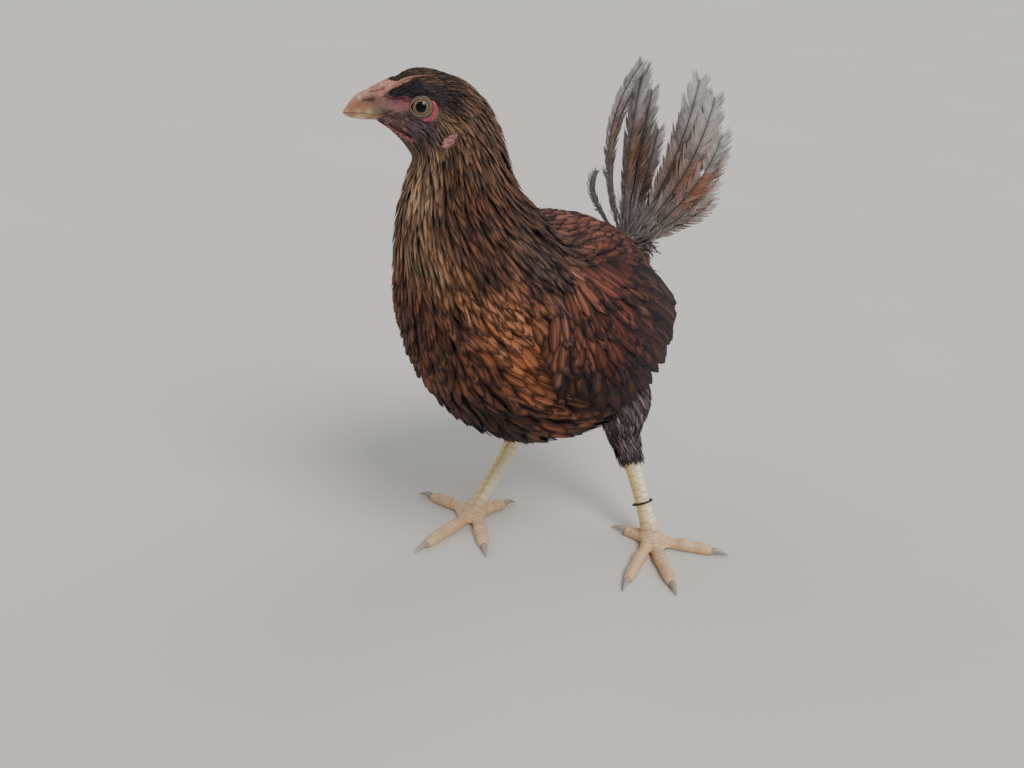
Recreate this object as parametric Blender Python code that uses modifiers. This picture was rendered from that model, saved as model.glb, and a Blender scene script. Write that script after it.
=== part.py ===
"""A laced pullet hen standing alert, head turned to its right, as a life-size still model.

Metres, +Z up. The hen faces -Y and its left side is +X. The floor is z = 0, under the toes.
Body, neck and head are one smooth form of rings, drawn in the hen's own side view as places
forward and up, and parted by thin cuts. Wing and tail feathers are vanes rooted in their node.
"""
import math

import bmesh
import bpy
import numpy as np
from mathutils import Matrix, Vector

GAP = 0.0003
SLIVER, FLAT_ANGLE = 0.00002, math.radians(1.0)
BODY_AT = (-0.0150, -0.0230)

# Rings from the rump to the beak: forward and height of the top line, forward and height of the
# underline, half width, and how far above the middle the ring is widest.
TRUNK = (
    (-0.0970, 0.1600, -0.0930, 0.1380, 0.0120, -0.10),
    (-0.0840, 0.1730, -0.0820, 0.1120, 0.0300, -0.12),
    (-0.0600, 0.1905, -0.0635, 0.0885, 0.0455, -0.12),
    (-0.0300, 0.2035, -0.0360, 0.0750, 0.0570, -0.08),
    (0.0000, 0.2110, -0.0040, 0.0700, 0.0630, -0.05),
    (0.0180, 0.2150, 0.0320, 0.0770, 0.0640, 0.00),
    (0.0300, 0.2190, 0.0620, 0.0950, 0.0600, 0.05),
    (0.0380, 0.2240, 0.0870, 0.1230, 0.0550, 0.10),
    (0.0440, 0.2310, 0.1030, 0.1560, 0.0480, 0.10),
    (0.0500, 0.2390, 0.1095, 0.1880, 0.0410, 0.05),
    (0.0535, 0.2490, 0.1105, 0.2150, 0.0350, 0.00),
    (0.0580, 0.2640, 0.1065, 0.2370, 0.0280, 0.00),
    (0.0660, 0.2780, 0.1035, 0.2475, 0.0235, 0.00),
    (0.0770, 0.2882, 0.1050, 0.2530, 0.0212, 0.00),
    (0.0885, 0.2930, 0.1085, 0.2575, 0.0198, 0.00),
    (0.0995, 0.2949, 0.1120, 0.2610, 0.0180, 0.00),
    (0.1085, 0.2930, 0.1155, 0.2640, 0.0157, 0.00),
    (0.1165, 0.2868, 0.1190, 0.2660, 0.0122, 0.00),
    (0.1250, 0.2826, 0.1225, 0.2676, 0.0080, 0.00),
)
NECK_RING, HEAD_RING, FACE_RING = 9.0, 12.6, 18.0
NECK_AXIS = 0.070
HEAD_TURN = math.radians(-45)
TURN_RINGS = (7.2, 11.9)

# The bill from its base to its tip, in the same six numbers as the trunk's rings.
BILL = (
    (0.1250, 0.2826, 0.1225, 0.2676, 0.0080, 0.00),
    (0.1285, 0.2817, 0.1270, 0.2674, 0.0069, 0.00),
    (0.1320, 0.2796, 0.1310, 0.2674, 0.0055, 0.00),
    (0.1348, 0.2766, 0.1345, 0.2678, 0.0038, 0.00),
    (0.1372, 0.2732, 0.1370, 0.2686, 0.0021, 0.00),
    (0.1388, 0.2707, 0.1386, 0.2697, 0.0006, 0.00),
)
BILL_SIDES, BILL_TILT = 16, math.radians(-9.5)
MOUTH_LINE = ((0.1400, 0.2700), (0.1340, 0.2712), (0.1294, 0.2719), (0.1223, 0.2713), (0.1165, 0.2693))
MOUTH_WIDTH, MOUTH_SLIT = 0.030, 0.0006
NOSTRIL_AT, NOSTRIL_SIZE = (0.1283, 0.0062, 0.2776), (0.0021, 0.0012, 0.0008)
EYE_AT, EYE_RADIUS, EYE_SUNK = (0.1008, 0.2790), 0.0062, 0.0040
LID_RADIUS, LID_THICK = 0.0053, 0.0011
# The comb is a low saddle on the forehead, as forward, height, half width and half height, and
# a thin strip runs back from it on each side of the crown, as ring number and degrees.
COMB = (
    (0.1268, 0.2818, 0.0028, 0.0010),
    (0.1240, 0.2831, 0.0044, 0.0014),
    (0.1210, 0.2840, 0.0058, 0.0020),
    (0.1175, 0.2861, 0.0064, 0.0024),
    (0.1150, 0.2882, 0.0060, 0.0024),
    (0.1125, 0.2903, 0.0048, 0.0021),
    (0.1100, 0.2919, 0.0030, 0.0014),
)
COMB_STRIP = ((17.35, 20.0), (17.00, 32.0), (16.50, 37.0), (15.95, 34.0), (15.50, 30.0))
COMB_STRIP_RADIUS, COMB_POINT = 0.0011, 0.0011
WATTLE_LINE = ((0.1161, 0.2675), (0.1130, 0.2657), (0.1100, 0.2641), (0.1067, 0.2627), (0.1037, 0.2614))
WATTLE_RADII, WATTLE_OUT = (0.0009, 0.0017, 0.0020, 0.0016, 0.0008), 0.0006
LOBE_AT, LOBE_SIZE, LOBE_SLANT = (0.0868, 0.2650), (0.0052, 0.0018, 0.0026), math.radians(-47)

# Each wing lies on the side of the body, between ring numbers and angles down from the back,
# and swells off it, most towards its rear.
WING_RINGS = (1.5, 7.3)
WING_TOP = (60, 45, 40, 44, 66)
WING_BOTTOM = (96, 109, 112, 112, 96)
WING_DEPTH, WING_RISE, WING_SWELL = 0.0060, 0.0006, 0.0048
WING_HELD, WING_HELD_LOW = 0.38, 0.86
# Tiers of vanes: how many, root ring, ring of the first and last tip, first and last angle at
# the root and at the tip, half width, height of the tips over the wing, and how much each lies
# above the one below it.
WING_TIERS = (
    (7, 3.9, (1.32, 1.86), (54, 104), (65, 113), 0.0088, 0.0016, 0.0003),
    (6, 5.1, (3.08, 3.00), (53, 103), (55, 107), 0.0074, 0.0050, 0.0),
    (5, 6.3, (4.60, 4.60), (58, 98), (56, 104), 0.0078, 0.0040, 0.0),
)
POCKET_OUT = 0.012
VANE_ROLL, VANE_THICK = 0.16, 0.0005
VANE_SHAPE = (0.45, 0.90, 1.00, 0.22)
VANE_STEPS = (0.0, 0.30, 0.75, 1.0)

# The tail's two fans: the tip of each vane, left, back and up, the bow of its middle, and its
# half width. The last vane on the right is the small curled one.
TAIL_ROOT, TAIL_TWIST = (-0.0190, 0.0700, 0.1760), 0.0015
TAIL_STUMP = (
    (-0.0175, 0.0480, 0.1620),
    (-0.0185, 0.0640, 0.1720),
    (-0.0190, 0.0760, 0.1830),
    (-0.0195, 0.0860, 0.1950),
)
TAIL_STUMP_RADII = (0.0150, 0.0145, 0.0105, 0.0040)
TAIL_FACING = {"left": (0.60, -0.80, 0.0), "right": (-0.20, -0.98, 0.0)}
TAIL_FANS = {
    "right": (
        ((-0.0300, 0.106, 0.2404), -0.002, 0.0075),
        ((-0.0400, 0.110, 0.2640), -0.003, 0.0085),
        ((-0.0483, 0.112, 0.2768), -0.006, 0.0095),
        ((-0.0458, 0.110, 0.2809), -0.021, 0.0060),
        ((-0.0563, 0.085, 0.2085), -0.014, 0.0028),
    ),
    "left": (
        ((-0.0120, 0.108, 0.2520), 0.002, 0.0075),
        ((-0.0095, 0.112, 0.2765), 0.004, 0.0085),
        ((0.0002, 0.118, 0.2668), 0.007, 0.0090),
        ((0.0090, 0.121, 0.2440), 0.008, 0.0085),
        ((0.0080, 0.120, 0.2130), 0.006, 0.0080),
    ),
}
TAIL_STACK = 0.0012
TAIL_STEPS = (0.0, 0.22, 0.50, 0.76, 0.91, 1.0)
TAIL_SHAPE = (0.35, 0.75, 1.00, 0.95, 0.65, 0.15)
TAIL_COVERTS, TAIL_COVERT_TURN = 7, math.radians(62)
TAIL_COVERT_LENGTH, TAIL_COVERT_HALF = 0.040, 0.0068

# Each leg: a place inside the body, the thigh, the hock, the foot's middle, and its toes as
# name, degrees from straight ahead towards the hen's left, and length with the claw.
LEGS = {
    "left": {
        "inside": (0.0180, 0.0000, 0.1200),
        "thigh": (0.0205, 0.0180, 0.0930),
        "hock": (0.0196, 0.0294, 0.0640),
        "foot": (0.0538, 0.0221),
        "toes": (
            ("inner", 17.5, 0.060), ("middle", 49.2, 0.058), ("outer", 118.1, 0.050), ("hind", -85.2, 0.0285),
        ),
    },
    "right": {
        "inside": (-0.0470, -0.0250, 0.1200),
        "thigh": (-0.0450, -0.0062, 0.0922),
        "hock": (-0.0397, 0.0094, 0.0650),
        "foot": (-0.0442, -0.0349),
        "toes": (
            ("inner", 48.8, 0.048), ("middle", 2.9, 0.060), ("outer", -83.0, 0.045), ("hind", 169.0, 0.034),
        ),
    },
}
THIGH_RADII, CUFF_SHARE = (0.0200, 0.0188, 0.0105, 0.0066), 0.36
CUFF_SPARE, CUT_SIZE = 0.0060, 0.060
SHANK_RADII = (0.0056, 0.0047, 0.0045, 0.0050)
SHANK_SCUTES, SCUTE_RAISED = 7, 0.0005
ANKLE_LENGTH = 0.0105
PAD_RADIUS, PAD_HEIGHT, STUB_LENGTH = 0.0088, 0.0070, 0.0145
TOE_RADII, CLAW_LENGTH, CLAW_RADIUS = (0.0034, 0.0042, 0.0036, 0.0038, 0.0029), 0.0110, 0.0017
TOE_SCUTES, SOLE_DIP = 3, 0.0006
BAND_SHARE, BAND_RADIUS, BAND_WIRE = 0.81, 0.0063, 0.0007

COLOURS = {
    "plumage": ((0.20, 0.075, 0.035), 0.75),
    "slate": ((0.12, 0.10, 0.10), 0.80),
    "face": ((0.55, 0.20, 0.18), 0.60),
    "comb": ((0.62, 0.28, 0.22), 0.50),
    "beak": ((0.55, 0.38, 0.24), 0.40),
    "eye": ((0.28, 0.20, 0.13), 0.10),
    "leg": ((0.66, 0.50, 0.26), 0.55),
    "claw": ((0.55, 0.50, 0.46), 0.40),
    "band": ((0.02, 0.02, 0.02), 0.40),
}


def clear_scene():
    for item in list(bpy.data.objects):
        bpy.data.objects.remove(item)


def new_collection(name):
    made = bpy.data.collections.new(name)
    bpy.context.scene.collection.children.link(made)
    return made


def material(name):
    """A Principled material with the part's colour and roughness."""
    found = bpy.data.materials.get(name)
    if found:
        return found
    made = bpy.data.materials.new(name)
    made.use_nodes = True
    shader = made.node_tree.nodes["Principled BSDF"]
    colour, roughness = COLOURS[name]
    shader.inputs["Base Color"].default_value = (*colour, 1)
    shader.inputs["Roughness"].default_value = roughness
    shader.inputs["Metallic"].default_value = 0.0
    return made


def from_shape(name, shape):
    """An object in the cutters' collection from a bmesh, with its faces pointing out."""
    bmesh.ops.recalc_face_normals(shape, faces=shape.faces)
    mesh = bpy.data.meshes.new(name)
    shape.to_mesh(mesh)
    shape.free()
    made = bpy.data.objects.new(name, mesh)
    made.hide_render = True
    made.display_type = "WIRE"
    bpy.data.collections["cutters"].objects.link(made)
    return made


def spline(rows, at):
    """A smooth curve through the rows at row numbers that need not be whole (Catmull-Rom)."""
    rows = np.asarray(rows, float)
    at = np.clip(np.asarray(at, float), 0, len(rows) - 1 - 1e-9)
    low = at.astype(int)
    f = (at - low)[..., None]
    wide = np.vstack([2 * rows[0] - rows[1], rows, 2 * rows[-1] - rows[-2]])
    a, b, c, d = (wide[low + i] for i in range(4))
    return 0.5 * (2 * b + (c - a) * f + (2 * a - 5 * b + 4 * c - d) * f**2 + (3 * b - 3 * c + d - a) * f**3)


def turned(forward, left, up, share=1.0):
    """A point of the side view, turned with the head about the neck's upright axis by that share."""
    angle = HEAD_TURN * share
    ahead = forward - NECK_AXIS
    x = ahead * np.sin(angle) + left * np.cos(angle)
    f = ahead * np.cos(angle) - left * np.sin(angle)
    return np.stack(np.broadcast_arrays(x + BODY_AT[0], BODY_AT[1] - f - NECK_AXIS, up), -1)


def ring_points(rows, ring, angle):
    """Points on the rings of a form; the angle runs from the top towards the hen's left."""
    row = spline(rows, ring)
    cosine, sine = np.cos(angle), np.sin(angle)
    forward = (row[..., 0] + row[..., 2]) / 2 + (row[..., 0] - row[..., 2]) / 2 * cosine
    up = (row[..., 1] + row[..., 3]) / 2 + (row[..., 1] - row[..., 3]) / 2 * cosine
    return forward, row[..., 4] * sine * (1 + row[..., 5] * cosine), up


def trunk(ring, angle, out=0.0):
    """The body's surface, moved out along its normal."""
    ring, angle, out = np.broadcast_arrays(
        np.asarray(ring, float), np.asarray(angle, float), np.asarray(out, float)
    )

    def flat(r, a):
        x = np.clip((r - TURN_RINGS[0]) / (TURN_RINGS[1] - TURN_RINGS[0]), 0, 1)
        return turned(*ring_points(TRUNK, r, a), share=x * x * (3 - 2 * x))

    step = 0.01
    along = flat(ring + step, angle) - flat(ring - step, angle)
    around = flat(ring, angle + step) - flat(ring, angle - step)
    normal = np.cross(along, around)
    normal /= np.linalg.norm(normal, axis=-1, keepdims=True)
    return flat(ring, angle) + normal * out[..., None]


def loft(name, rings):
    """A closed skin of triangles over rings of equal count, with a fan over each end."""
    shape = bmesh.new()
    rows = [[shape.verts.new(p) for p in ring] for ring in np.asarray(rings, float)]
    sides = len(rows[0])
    for near, far in zip(rows, rows[1:]):
        for j in range(sides):
            k = (j + 1) % sides
            shape.faces.new((near[j], near[k], far[k]))
            shape.faces.new((near[j], far[k], far[j]))
    for row in (rows[0], rows[-1]):
        middle = shape.verts.new(sum((v.co for v in row), Vector()) / sides)
        for j in range(sides):
            shape.faces.new((middle, row[j], row[(j + 1) % sides]))
    return from_shape(name, shape)


def trunk_piece(name, first, last, count, sides, out=0.0, ends=(0.0, 0.0)):
    """A length of the body between two rings, each end moved along its ring's own axis."""
    r, a = np.meshgrid(
        np.linspace(first, last, count), np.linspace(0, 2 * math.pi, sides, endpoint=False), indexing="ij"
    )
    rings = trunk(r, a, out)
    for index, shift in ((0, ends[0]), (-1, ends[1])):
        end = rings[index]
        axis = np.cross(end[sides // 4] - end[3 * sides // 4], end[0] - end[sides // 2])
        axis /= np.linalg.norm(axis)
        if np.dot(axis, rings[-1].mean(0) - rings[0].mean(0)) < 0:
            axis = -axis
        rings[index] += axis * shift
    return loft(name, rings)


def tube(name, path, radii, sides=10, square_to=None):
    """A closed tube along a path with a radius for each point, its rings square to it or to one line."""
    path = np.asarray(path, float)
    ahead = np.gradient(path, axis=0) if square_to is None else np.tile(square_to, (len(path), 1))
    ahead /= np.linalg.norm(ahead, axis=1, keepdims=True)
    guide = np.array([0.0, 0.0, 1.0]) if abs(ahead[0][2]) < 0.8 else np.array([0.0, 1.0, 0.0])
    side = np.cross(guide, ahead)
    side /= np.linalg.norm(side, axis=1, keepdims=True)
    up = np.cross(ahead, side)
    angle = np.linspace(0, 2 * math.pi, sides, endpoint=False)[None, :, None]
    radii = np.asarray(radii, float)[:, None, None]
    return loft(name, path[:, None] + radii * (np.sin(angle) * side[:, None] + np.cos(angle) * up[:, None]))


def placed(centre, axes=np.eye(3), scale=(1, 1, 1)):
    """A matrix that scales, turns to three axes and moves to a centre."""
    turn = Matrix([list(row) for row in np.asarray(axes, float).T]).to_4x4()
    return Matrix.Translation(Vector(centre)) @ turn @ Matrix.Diagonal((*scale, 1))


def ball(name, centre, radii, axes=np.eye(3), segments=(12, 8)):
    shape = bmesh.new()
    bmesh.ops.create_uvsphere(
        shape, u_segments=segments[0], v_segments=segments[1], radius=1, matrix=placed(centre, axes, radii)
    )
    bmesh.ops.triangulate(shape, faces=shape.faces)
    return from_shape(name, shape)


def box(name, centre, size, axes=np.eye(3)):
    shape = bmesh.new()
    bmesh.ops.create_cube(shape, size=1, matrix=placed(centre, axes, size))
    return from_shape(name, shape)


def cone(name, centre, ahead, radii, depth, segments=8):
    """A cut cone about a direction, wide end first."""
    shape = bmesh.new()
    turn = Vector(ahead).to_track_quat("Z", "Y").to_matrix().to_4x4()
    bmesh.ops.create_cone(
        shape, cap_ends=True, cap_tris=True, segments=segments, radius1=radii[0], radius2=radii[1],
        depth=depth, matrix=Matrix.Translation(Vector(centre)) @ turn,
    )
    return from_shape(name, shape)


def torus(name, centre, axis, radius, wire, segments=(14, 5)):
    bpy.ops.mesh.primitive_torus_add(
        major_radius=radius, minor_radius=wire, major_segments=segments[0], minor_segments=segments[1]
    )
    made = bpy.context.active_object
    made.name = name
    turn = Vector(axis).to_track_quat("Z", "Y").to_matrix().to_4x4()
    made.data.transform(Matrix.Translation(Vector(centre)) @ turn)
    for home in list(made.users_collection):
        home.objects.unlink(made)
    bpy.data.collections["cutters"].objects.link(made)
    return made


def sheet(name, grid, thickness):
    """An open surface over a grid of points, split into triangles and given a thickness."""
    shape = bmesh.new()
    rows = [[shape.verts.new(p) for p in row] for row in np.asarray(grid, float)]
    for near, far in zip(rows, rows[1:]):
        for j in range(len(near) - 1):
            shape.faces.new((near[j], near[j + 1], far[j + 1]))
            shape.faces.new((near[j], far[j + 1], far[j]))
    made = from_shape(name, shape)
    solid = made.modifiers.new("thickness", "SOLIDIFY")
    solid.thickness = thickness
    solid.offset = 0
    return made


def evaluated(thing):
    """The object's mesh with its modifiers applied, as triangles."""
    graph = bpy.context.evaluated_depsgraph_get()
    mesh = bpy.data.meshes.new_from_object(thing.evaluated_get(graph))
    shape = bmesh.new()
    shape.from_mesh(mesh)
    bpy.data.meshes.remove(mesh)
    shape.transform(thing.matrix_world)
    bmesh.ops.triangulate(shape, faces=shape.faces)
    return shape


def closed_surfaces(shape):
    """The connected surfaces of a mesh, the one that holds most first."""
    left = set(shape.faces)
    groups = []
    while left:
        group = [left.pop()]
        for face in group:
            for edge in face.edges:
                for other in edge.link_faces:
                    if other in left:
                        left.discard(other)
                        group.append(other)
        held = sum(f.verts[0].co.dot(f.verts[1].co.cross(f.verts[2].co)) for f in group)
        groups.append((abs(held), group))
    groups.sort(key=lambda item: -item[0])
    return [group for _, group in groups]


def finish(name, body, colour, joined=(), removed=(), solver="EXACT", keep=0, spare=True, thin=False):
    """The named node: a body, with pieces joined to it and then others cut out of it."""
    if joined:
        group = new_collection(name + "_joined")
        for piece in joined:
            bpy.data.collections["cutters"].objects.unlink(piece)
            group.objects.link(piece)
        union = body.modifiers.new("join", "BOOLEAN")
        union.operation = "UNION"
        union.operand_type = "COLLECTION"
        union.collection = group
        union.solver = solver
    for cutter in removed:
        away = body.modifiers.new("cut", "BOOLEAN")
        away.operation = "DIFFERENCE"
        away.object = cutter
        away.solver = solver
    shape = evaluated(body)
    if (joined or removed) and not thin:
        bmesh.ops.dissolve_degenerate(shape, dist=SLIVER, edges=shape.edges)
        bmesh.ops.dissolve_limit(shape, angle_limit=FLAT_ANGLE, verts=shape.verts, edges=shape.edges)
        bmesh.ops.triangulate(shape, faces=shape.faces)
    kept = set(closed_surfaces(shape)[keep])
    bmesh.ops.delete(shape, geom=[f for f in shape.faces if f not in kept], context="FACES")
    bmesh.ops.delete(shape, geom=[v for v in shape.verts if not v.link_faces], context="VERTS")
    mesh = bpy.data.meshes.new(name)
    shape.to_mesh(mesh)
    shape.free()
    mesh.shade_smooth()
    mesh.set_sharp_from_angle(angle=math.radians(40))
    mesh.materials.append(material(colour))
    made = bpy.data.objects.new(name, mesh)
    bpy.data.collections["pullet_hen"].objects.link(made)
    if spare:
        for piece in [body, *joined, *removed]:
            bpy.data.objects.remove(piece)
    if joined:
        bpy.data.collections.remove(group)
    return made


def head_axes():
    """The head's own directions: ahead, to its left, and up."""
    middle = turned(NECK_AXIS, 0.0, 0.0)
    ahead = turned(NECK_AXIS + 1, 0.0, 0.0) - middle
    left = turned(NECK_AXIS, 1.0, 0.0) - middle
    return np.array([ahead, left, [0, 0, 1]])


def on_head(forward, up, out=0.0):
    """The place and outward direction on the head's left cheek at a place of its side view."""
    r, a = np.meshgrid(np.linspace(HEAD_RING, FACE_RING, 90), np.linspace(0.1, 3.0, 90), indexing="ij")
    f, _, z = ring_points(TRUNK, r, a)
    near = np.unravel_index(np.argmin((f - forward) ** 2 + (z - up) ** 2), r.shape)
    here = trunk(r[near], a[near])
    outward = trunk(r[near], a[near], 1.0) - here
    return here + outward * out, outward


def mirrored(point, direction, side):
    """The same place on the head's other side."""
    if side == "left":
        return point, direction
    across = head_axes()[1]
    middle = turned(NECK_AXIS, 0.0, 0.0) * (1, 1, 0)
    place = point - 2 * np.dot(point - middle, across) * across
    return place, direction - 2 * np.dot(direction, across) * across


def disc_axes(outward):
    """Directions on a patch of the head: ahead along it, outward, and up along it."""
    ahead = head_axes()[0] - outward * np.dot(head_axes()[0], outward)
    ahead /= np.linalg.norm(ahead)
    return np.array([ahead, outward, np.cross(ahead, outward)])


def wing_edges(u):
    """The wing's upper and lower angle at a share of its length, from its rear to its shoulder."""
    at = np.asarray(u, float) * (len(WING_TOP) - 1)
    edges = spline(np.array([WING_TOP, WING_BOTTOM], float).T, at)
    return np.radians(edges[..., 0]), np.radians(edges[..., 1])


def wing_swell(ring, angle, held=False):
    """How far the folded wing stands off the body; with held it doesn't sink at the tips."""
    u = (ring - WING_RINGS[0]) / (WING_RINGS[1] - WING_RINGS[0])
    top, bottom = wing_edges(np.clip(u, 0, 1))
    v = np.clip((angle - top) / (bottom - top), 0, WING_HELD_LOW if held else 1)
    u = np.clip(u, WING_HELD if held else 0, 1)
    length = np.sin(math.pi * u**0.8) ** 0.7
    width = np.clip(np.sin(math.pi * v**2.2), 0, 1) ** 0.7
    return WING_SWELL * length * width


def wing_core(name, side, low, high, margin=0.0, rows=10, columns=7):
    """The wing's body between two depths on the trunk, and with a margin the pocket that it lies in."""
    u, v = np.meshgrid(np.linspace(0, 1, rows), np.linspace(0, 1, columns), indexing="ij")
    top, bottom = wing_edges(u)
    middle, half = (top + bottom) / 2, (bottom - top) / 2
    angle = middle + (2 * v - 1) * (half + margin / 0.05)
    ring = WING_RINGS[0] + u * (WING_RINGS[1] - WING_RINGS[0]) + (2 * u - 1) * margin / 0.02
    sign = 1 if side == "left" else -1
    over = high + (0 if margin else wing_swell(ring, angle))
    upper, lower = trunk(ring, sign * angle, over), trunk(ring, sign * angle, low)
    shape = bmesh.new()
    skins = [[[shape.verts.new(p) for p in row] for row in skin] for skin in (upper, lower)]
    for skin in skins:
        for near, far in zip(skin, skin[1:]):
            for j in range(columns - 1):
                shape.faces.new((near[j], near[j + 1], far[j + 1]))
                shape.faces.new((near[j], far[j + 1], far[j]))
    rims = []
    for skin in skins:
        rim = list(skin[0]) + [row[-1] for row in skin[1:]] + list(reversed(skin[-1][:-1]))
        rims.append(rim + [row[0] for row in reversed(skin[1:-1])])
    for j in range(len(rims[0])):
        k = (j + 1) % len(rims[0])
        shape.faces.new((rims[0][j], rims[0][k], rims[1][k], rims[1][j]))
    return from_shape(name, shape)


def trunk_vane(name, root, tip, half_width, height, roll, side):
    """A vane that follows the body from its root, sunk in the wing, to its tip above the body."""
    steps = np.array(VANE_STEPS)
    centre = np.array(root) + (np.array(tip) - root) * steps[:, None]
    e = 0.01
    here = trunk(centre[:, 0], centre[:, 1])
    along = (trunk(centre[:, 0] + e, centre[:, 1]) - here) / e
    around = (trunk(centre[:, 0], centre[:, 1] + e) - here) / e
    ahead = np.gradient(here, axis=0)
    across = np.cross(trunk(centre[:, 0], centre[:, 1], 1.0) - here, ahead)
    across /= np.linalg.norm(across, axis=1, keepdims=True)
    turn = [
        np.linalg.lstsq(np.stack([p, q], 1), w, rcond=None)[0] for p, q, w in zip(along, around, across)
    ]
    half = half_width * np.array(VANE_SHAPE)
    lift = -0.0020 + (height + 0.0020) * np.clip(steps / 0.8, 0, 1) ** 0.5
    lift = lift + wing_swell(centre[:, 0], centre[:, 1], held=True)
    grid = []
    for share in (-1, 0, 1):
        moved = centre + np.array(turn) * (share * half)[:, None]
        sign = 1 if side == "left" else -1
        grid.append(trunk(moved[:, 0], moved[:, 1] * sign, lift + share * roll * half))
    return sheet(name, np.stack(grid, 1), VANE_THICK)


def wing_vanes(side):
    for tier, (count, root_ring, tip_rings, roots, tips, half, height, stack) in enumerate(WING_TIERS):
        for i in range(count):
            share = i / (count - 1)
            root = (root_ring, math.radians(roots[0] + (roots[1] - roots[0]) * share))
            tip_ring = tip_rings[0] + (tip_rings[1] - tip_rings[0]) * share
            tip = (tip_ring, math.radians(tips[0] + (tips[1] - tips[0]) * share))
            rise = height + stack * (count - 1 - i)
            yield trunk_vane(f"vane_{side}_{tier}_{i}", root, tip, half, rise, VANE_ROLL, side)


def path_vane(name, root, tip, bow, half_width, facing):
    """A vane on a bowed line between two points, its face turned to a direction."""
    steps = np.array(TAIL_STEPS)[:, None]
    root, tip = np.asarray(root, float), np.asarray(tip, float)
    line = root + (tip - root) * steps + np.asarray(bow, float) * 4 * steps * (1 - steps)
    across = np.cross(np.gradient(line, axis=0), facing)
    across /= np.linalg.norm(across, axis=1, keepdims=True)
    half = half_width * np.array(TAIL_SHAPE)[:, None]
    return sheet(name, np.stack([line - across * half, line, line + across * half], 1), VANE_THICK)


def tail_vanes():
    root = np.array(TAIL_ROOT)
    for side, fan in TAIL_FANS.items():
        sign = 1 if side == "left" else -1
        facing = np.array(TAIL_FACING[side])
        for i, (tip, bow, half_width) in enumerate(fan):
            stack = facing * TAIL_STACK * (i + 0.5)
            start = root + stack + np.array([sign * TAIL_TWIST * i, 0, 0])
            end = np.array(tip) + stack
            yield path_vane(f"rectrix_{side}_{i}", start, end, (bow, 0.004, 0), half_width, facing)
    for i in range(TAIL_COVERTS):
        turn = TAIL_COVERT_TURN * (2 * i / (TAIL_COVERTS - 1) - 1)
        ahead = np.array([math.sin(turn), 0.45, math.cos(turn)])
        tip = root + ahead / np.linalg.norm(ahead) * TAIL_COVERT_LENGTH + (0, 0.006, 0)
        base = root + (0, 0.004 + 0.0012 * (i % 2), 0)
        yield path_vane(f"tail_covert_{i}", base, tip, (0, 0.003, 0), TAIL_COVERT_HALF, (0, -1, 0))


def torso_shell(name):
    """The torso's form with the gap that its neighbours keep from it."""
    return trunk_piece(name, 0.0, NECK_RING, 18, 26, out=GAP)


def make_trunk():
    pockets = [
        wing_core(f"pocket_{side}", side, -WING_DEPTH - GAP, POCKET_OUT, margin=GAP * 1.5)
        for side in ("left", "right")
    ]
    torso = trunk_piece("torso_form", 0.0, NECK_RING, 18, 26, ends=(0, -GAP / 2))
    finish("torso", torso, "plumage", removed=pockets)
    neck = trunk_piece("neck_form", NECK_RING, HEAD_RING, 9, 24, ends=(GAP / 2, -GAP / 2))
    finish("neck", neck, "plumage")


def make_wings():
    for side in ("left", "right"):
        core = wing_core(f"core_{side}", side, -WING_DEPTH, WING_RISE)
        body_clear = torso_shell("body_clear")
        hollow = wing_core("hollow", side, -WING_DEPTH - GAP / 3, POCKET_OUT, margin=GAP / 2)
        opened = body_clear.modifiers.new("pocket", "BOOLEAN")
        opened.operation = "DIFFERENCE"
        opened.object = hollow
        opened.solver = "MANIFOLD"
        vanes = list(wing_vanes(side))
        finish(
            f"wing_{side}", core, "plumage", joined=vanes, removed=[body_clear], solver="MANIFOLD", thin=True
        )
        bpy.data.objects.remove(hollow)


def make_tail():
    stump = tube("tail_stump", TAIL_STUMP, TAIL_STUMP_RADII, 14)
    vanes = list(tail_vanes())
    finish("tail", stump, "slate", joined=vanes, removed=[torso_shell("clear")], solver="MANIFOLD", thin=True)


def mouth(name, thickness):
    """A thin sheet along the line where the bill closes, right across it."""
    line = np.array(MOUTH_LINE)
    grid = [[turned(f, left, z) for left in (-MOUTH_WIDTH / 2, MOUTH_WIDTH / 2)] for f, z in line]
    return sheet(name, grid, thickness)


def make_head():
    form = trunk_piece("head_form", HEAD_RING, FACE_RING, 14, 24, ends=(GAP / 2, 0))
    lids, sockets = [], []
    for side in ("left", "right"):
        rim, outward = mirrored(*on_head(*EYE_AT), side)
        centre = rim - outward * EYE_SUNK
        lids.append(torus(f"lid_{side}", rim + outward * 0.0002, outward, LID_RADIUS, LID_THICK))
        sockets.append(ball(f"socket_{side}", centre, [EYE_RADIUS + 2 * GAP] * 3, segments=(12, 8)))
        eye = ball(f"eye_form_{side}", centre, [EYE_RADIUS] * 3, segments=(12, 8))
        finish(f"eye_{side}", eye, "eye")
    finish("head", form, "plumage", joined=lids, removed=[*sockets, mouth("mouth", MOUTH_SLIT)])


def bill_form(name, out=0.0):
    """The whole bill, or with a distance its form moved out all round."""
    angle = np.linspace(0, 2 * math.pi, BILL_SIDES, endpoint=False)
    rows = np.array(BILL) + np.array([0, out, 0, -out, out, 0])
    rings = [turned(*ring_points(rows, np.full(BILL_SIDES, float(i)), angle)) for i in range(len(BILL))]
    ahead = head_axes()[0] * math.cos(BILL_TILT) + np.array([0, 0, math.sin(BILL_TILT)])
    rings[0] = rings[0] + ahead * (GAP - out)
    return loft(name, rings)


def make_bill():
    whole = bill_form("bill_form")
    nostrils = []
    for side in (1, -1):
        forward, left, up = NOSTRIL_AT
        nostrils.append(ball("nostril", turned(forward, left * side, up), NOSTRIL_SIZE, head_axes(), (8, 6)))
    slit = mouth("slit", GAP)
    finish("beak_lower", whole, "beak", removed=[slit], keep=1, spare=False)
    whole.modifiers.clear()
    finish("beak_upper", whole, "beak", removed=[slit, *nostrils])


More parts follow.
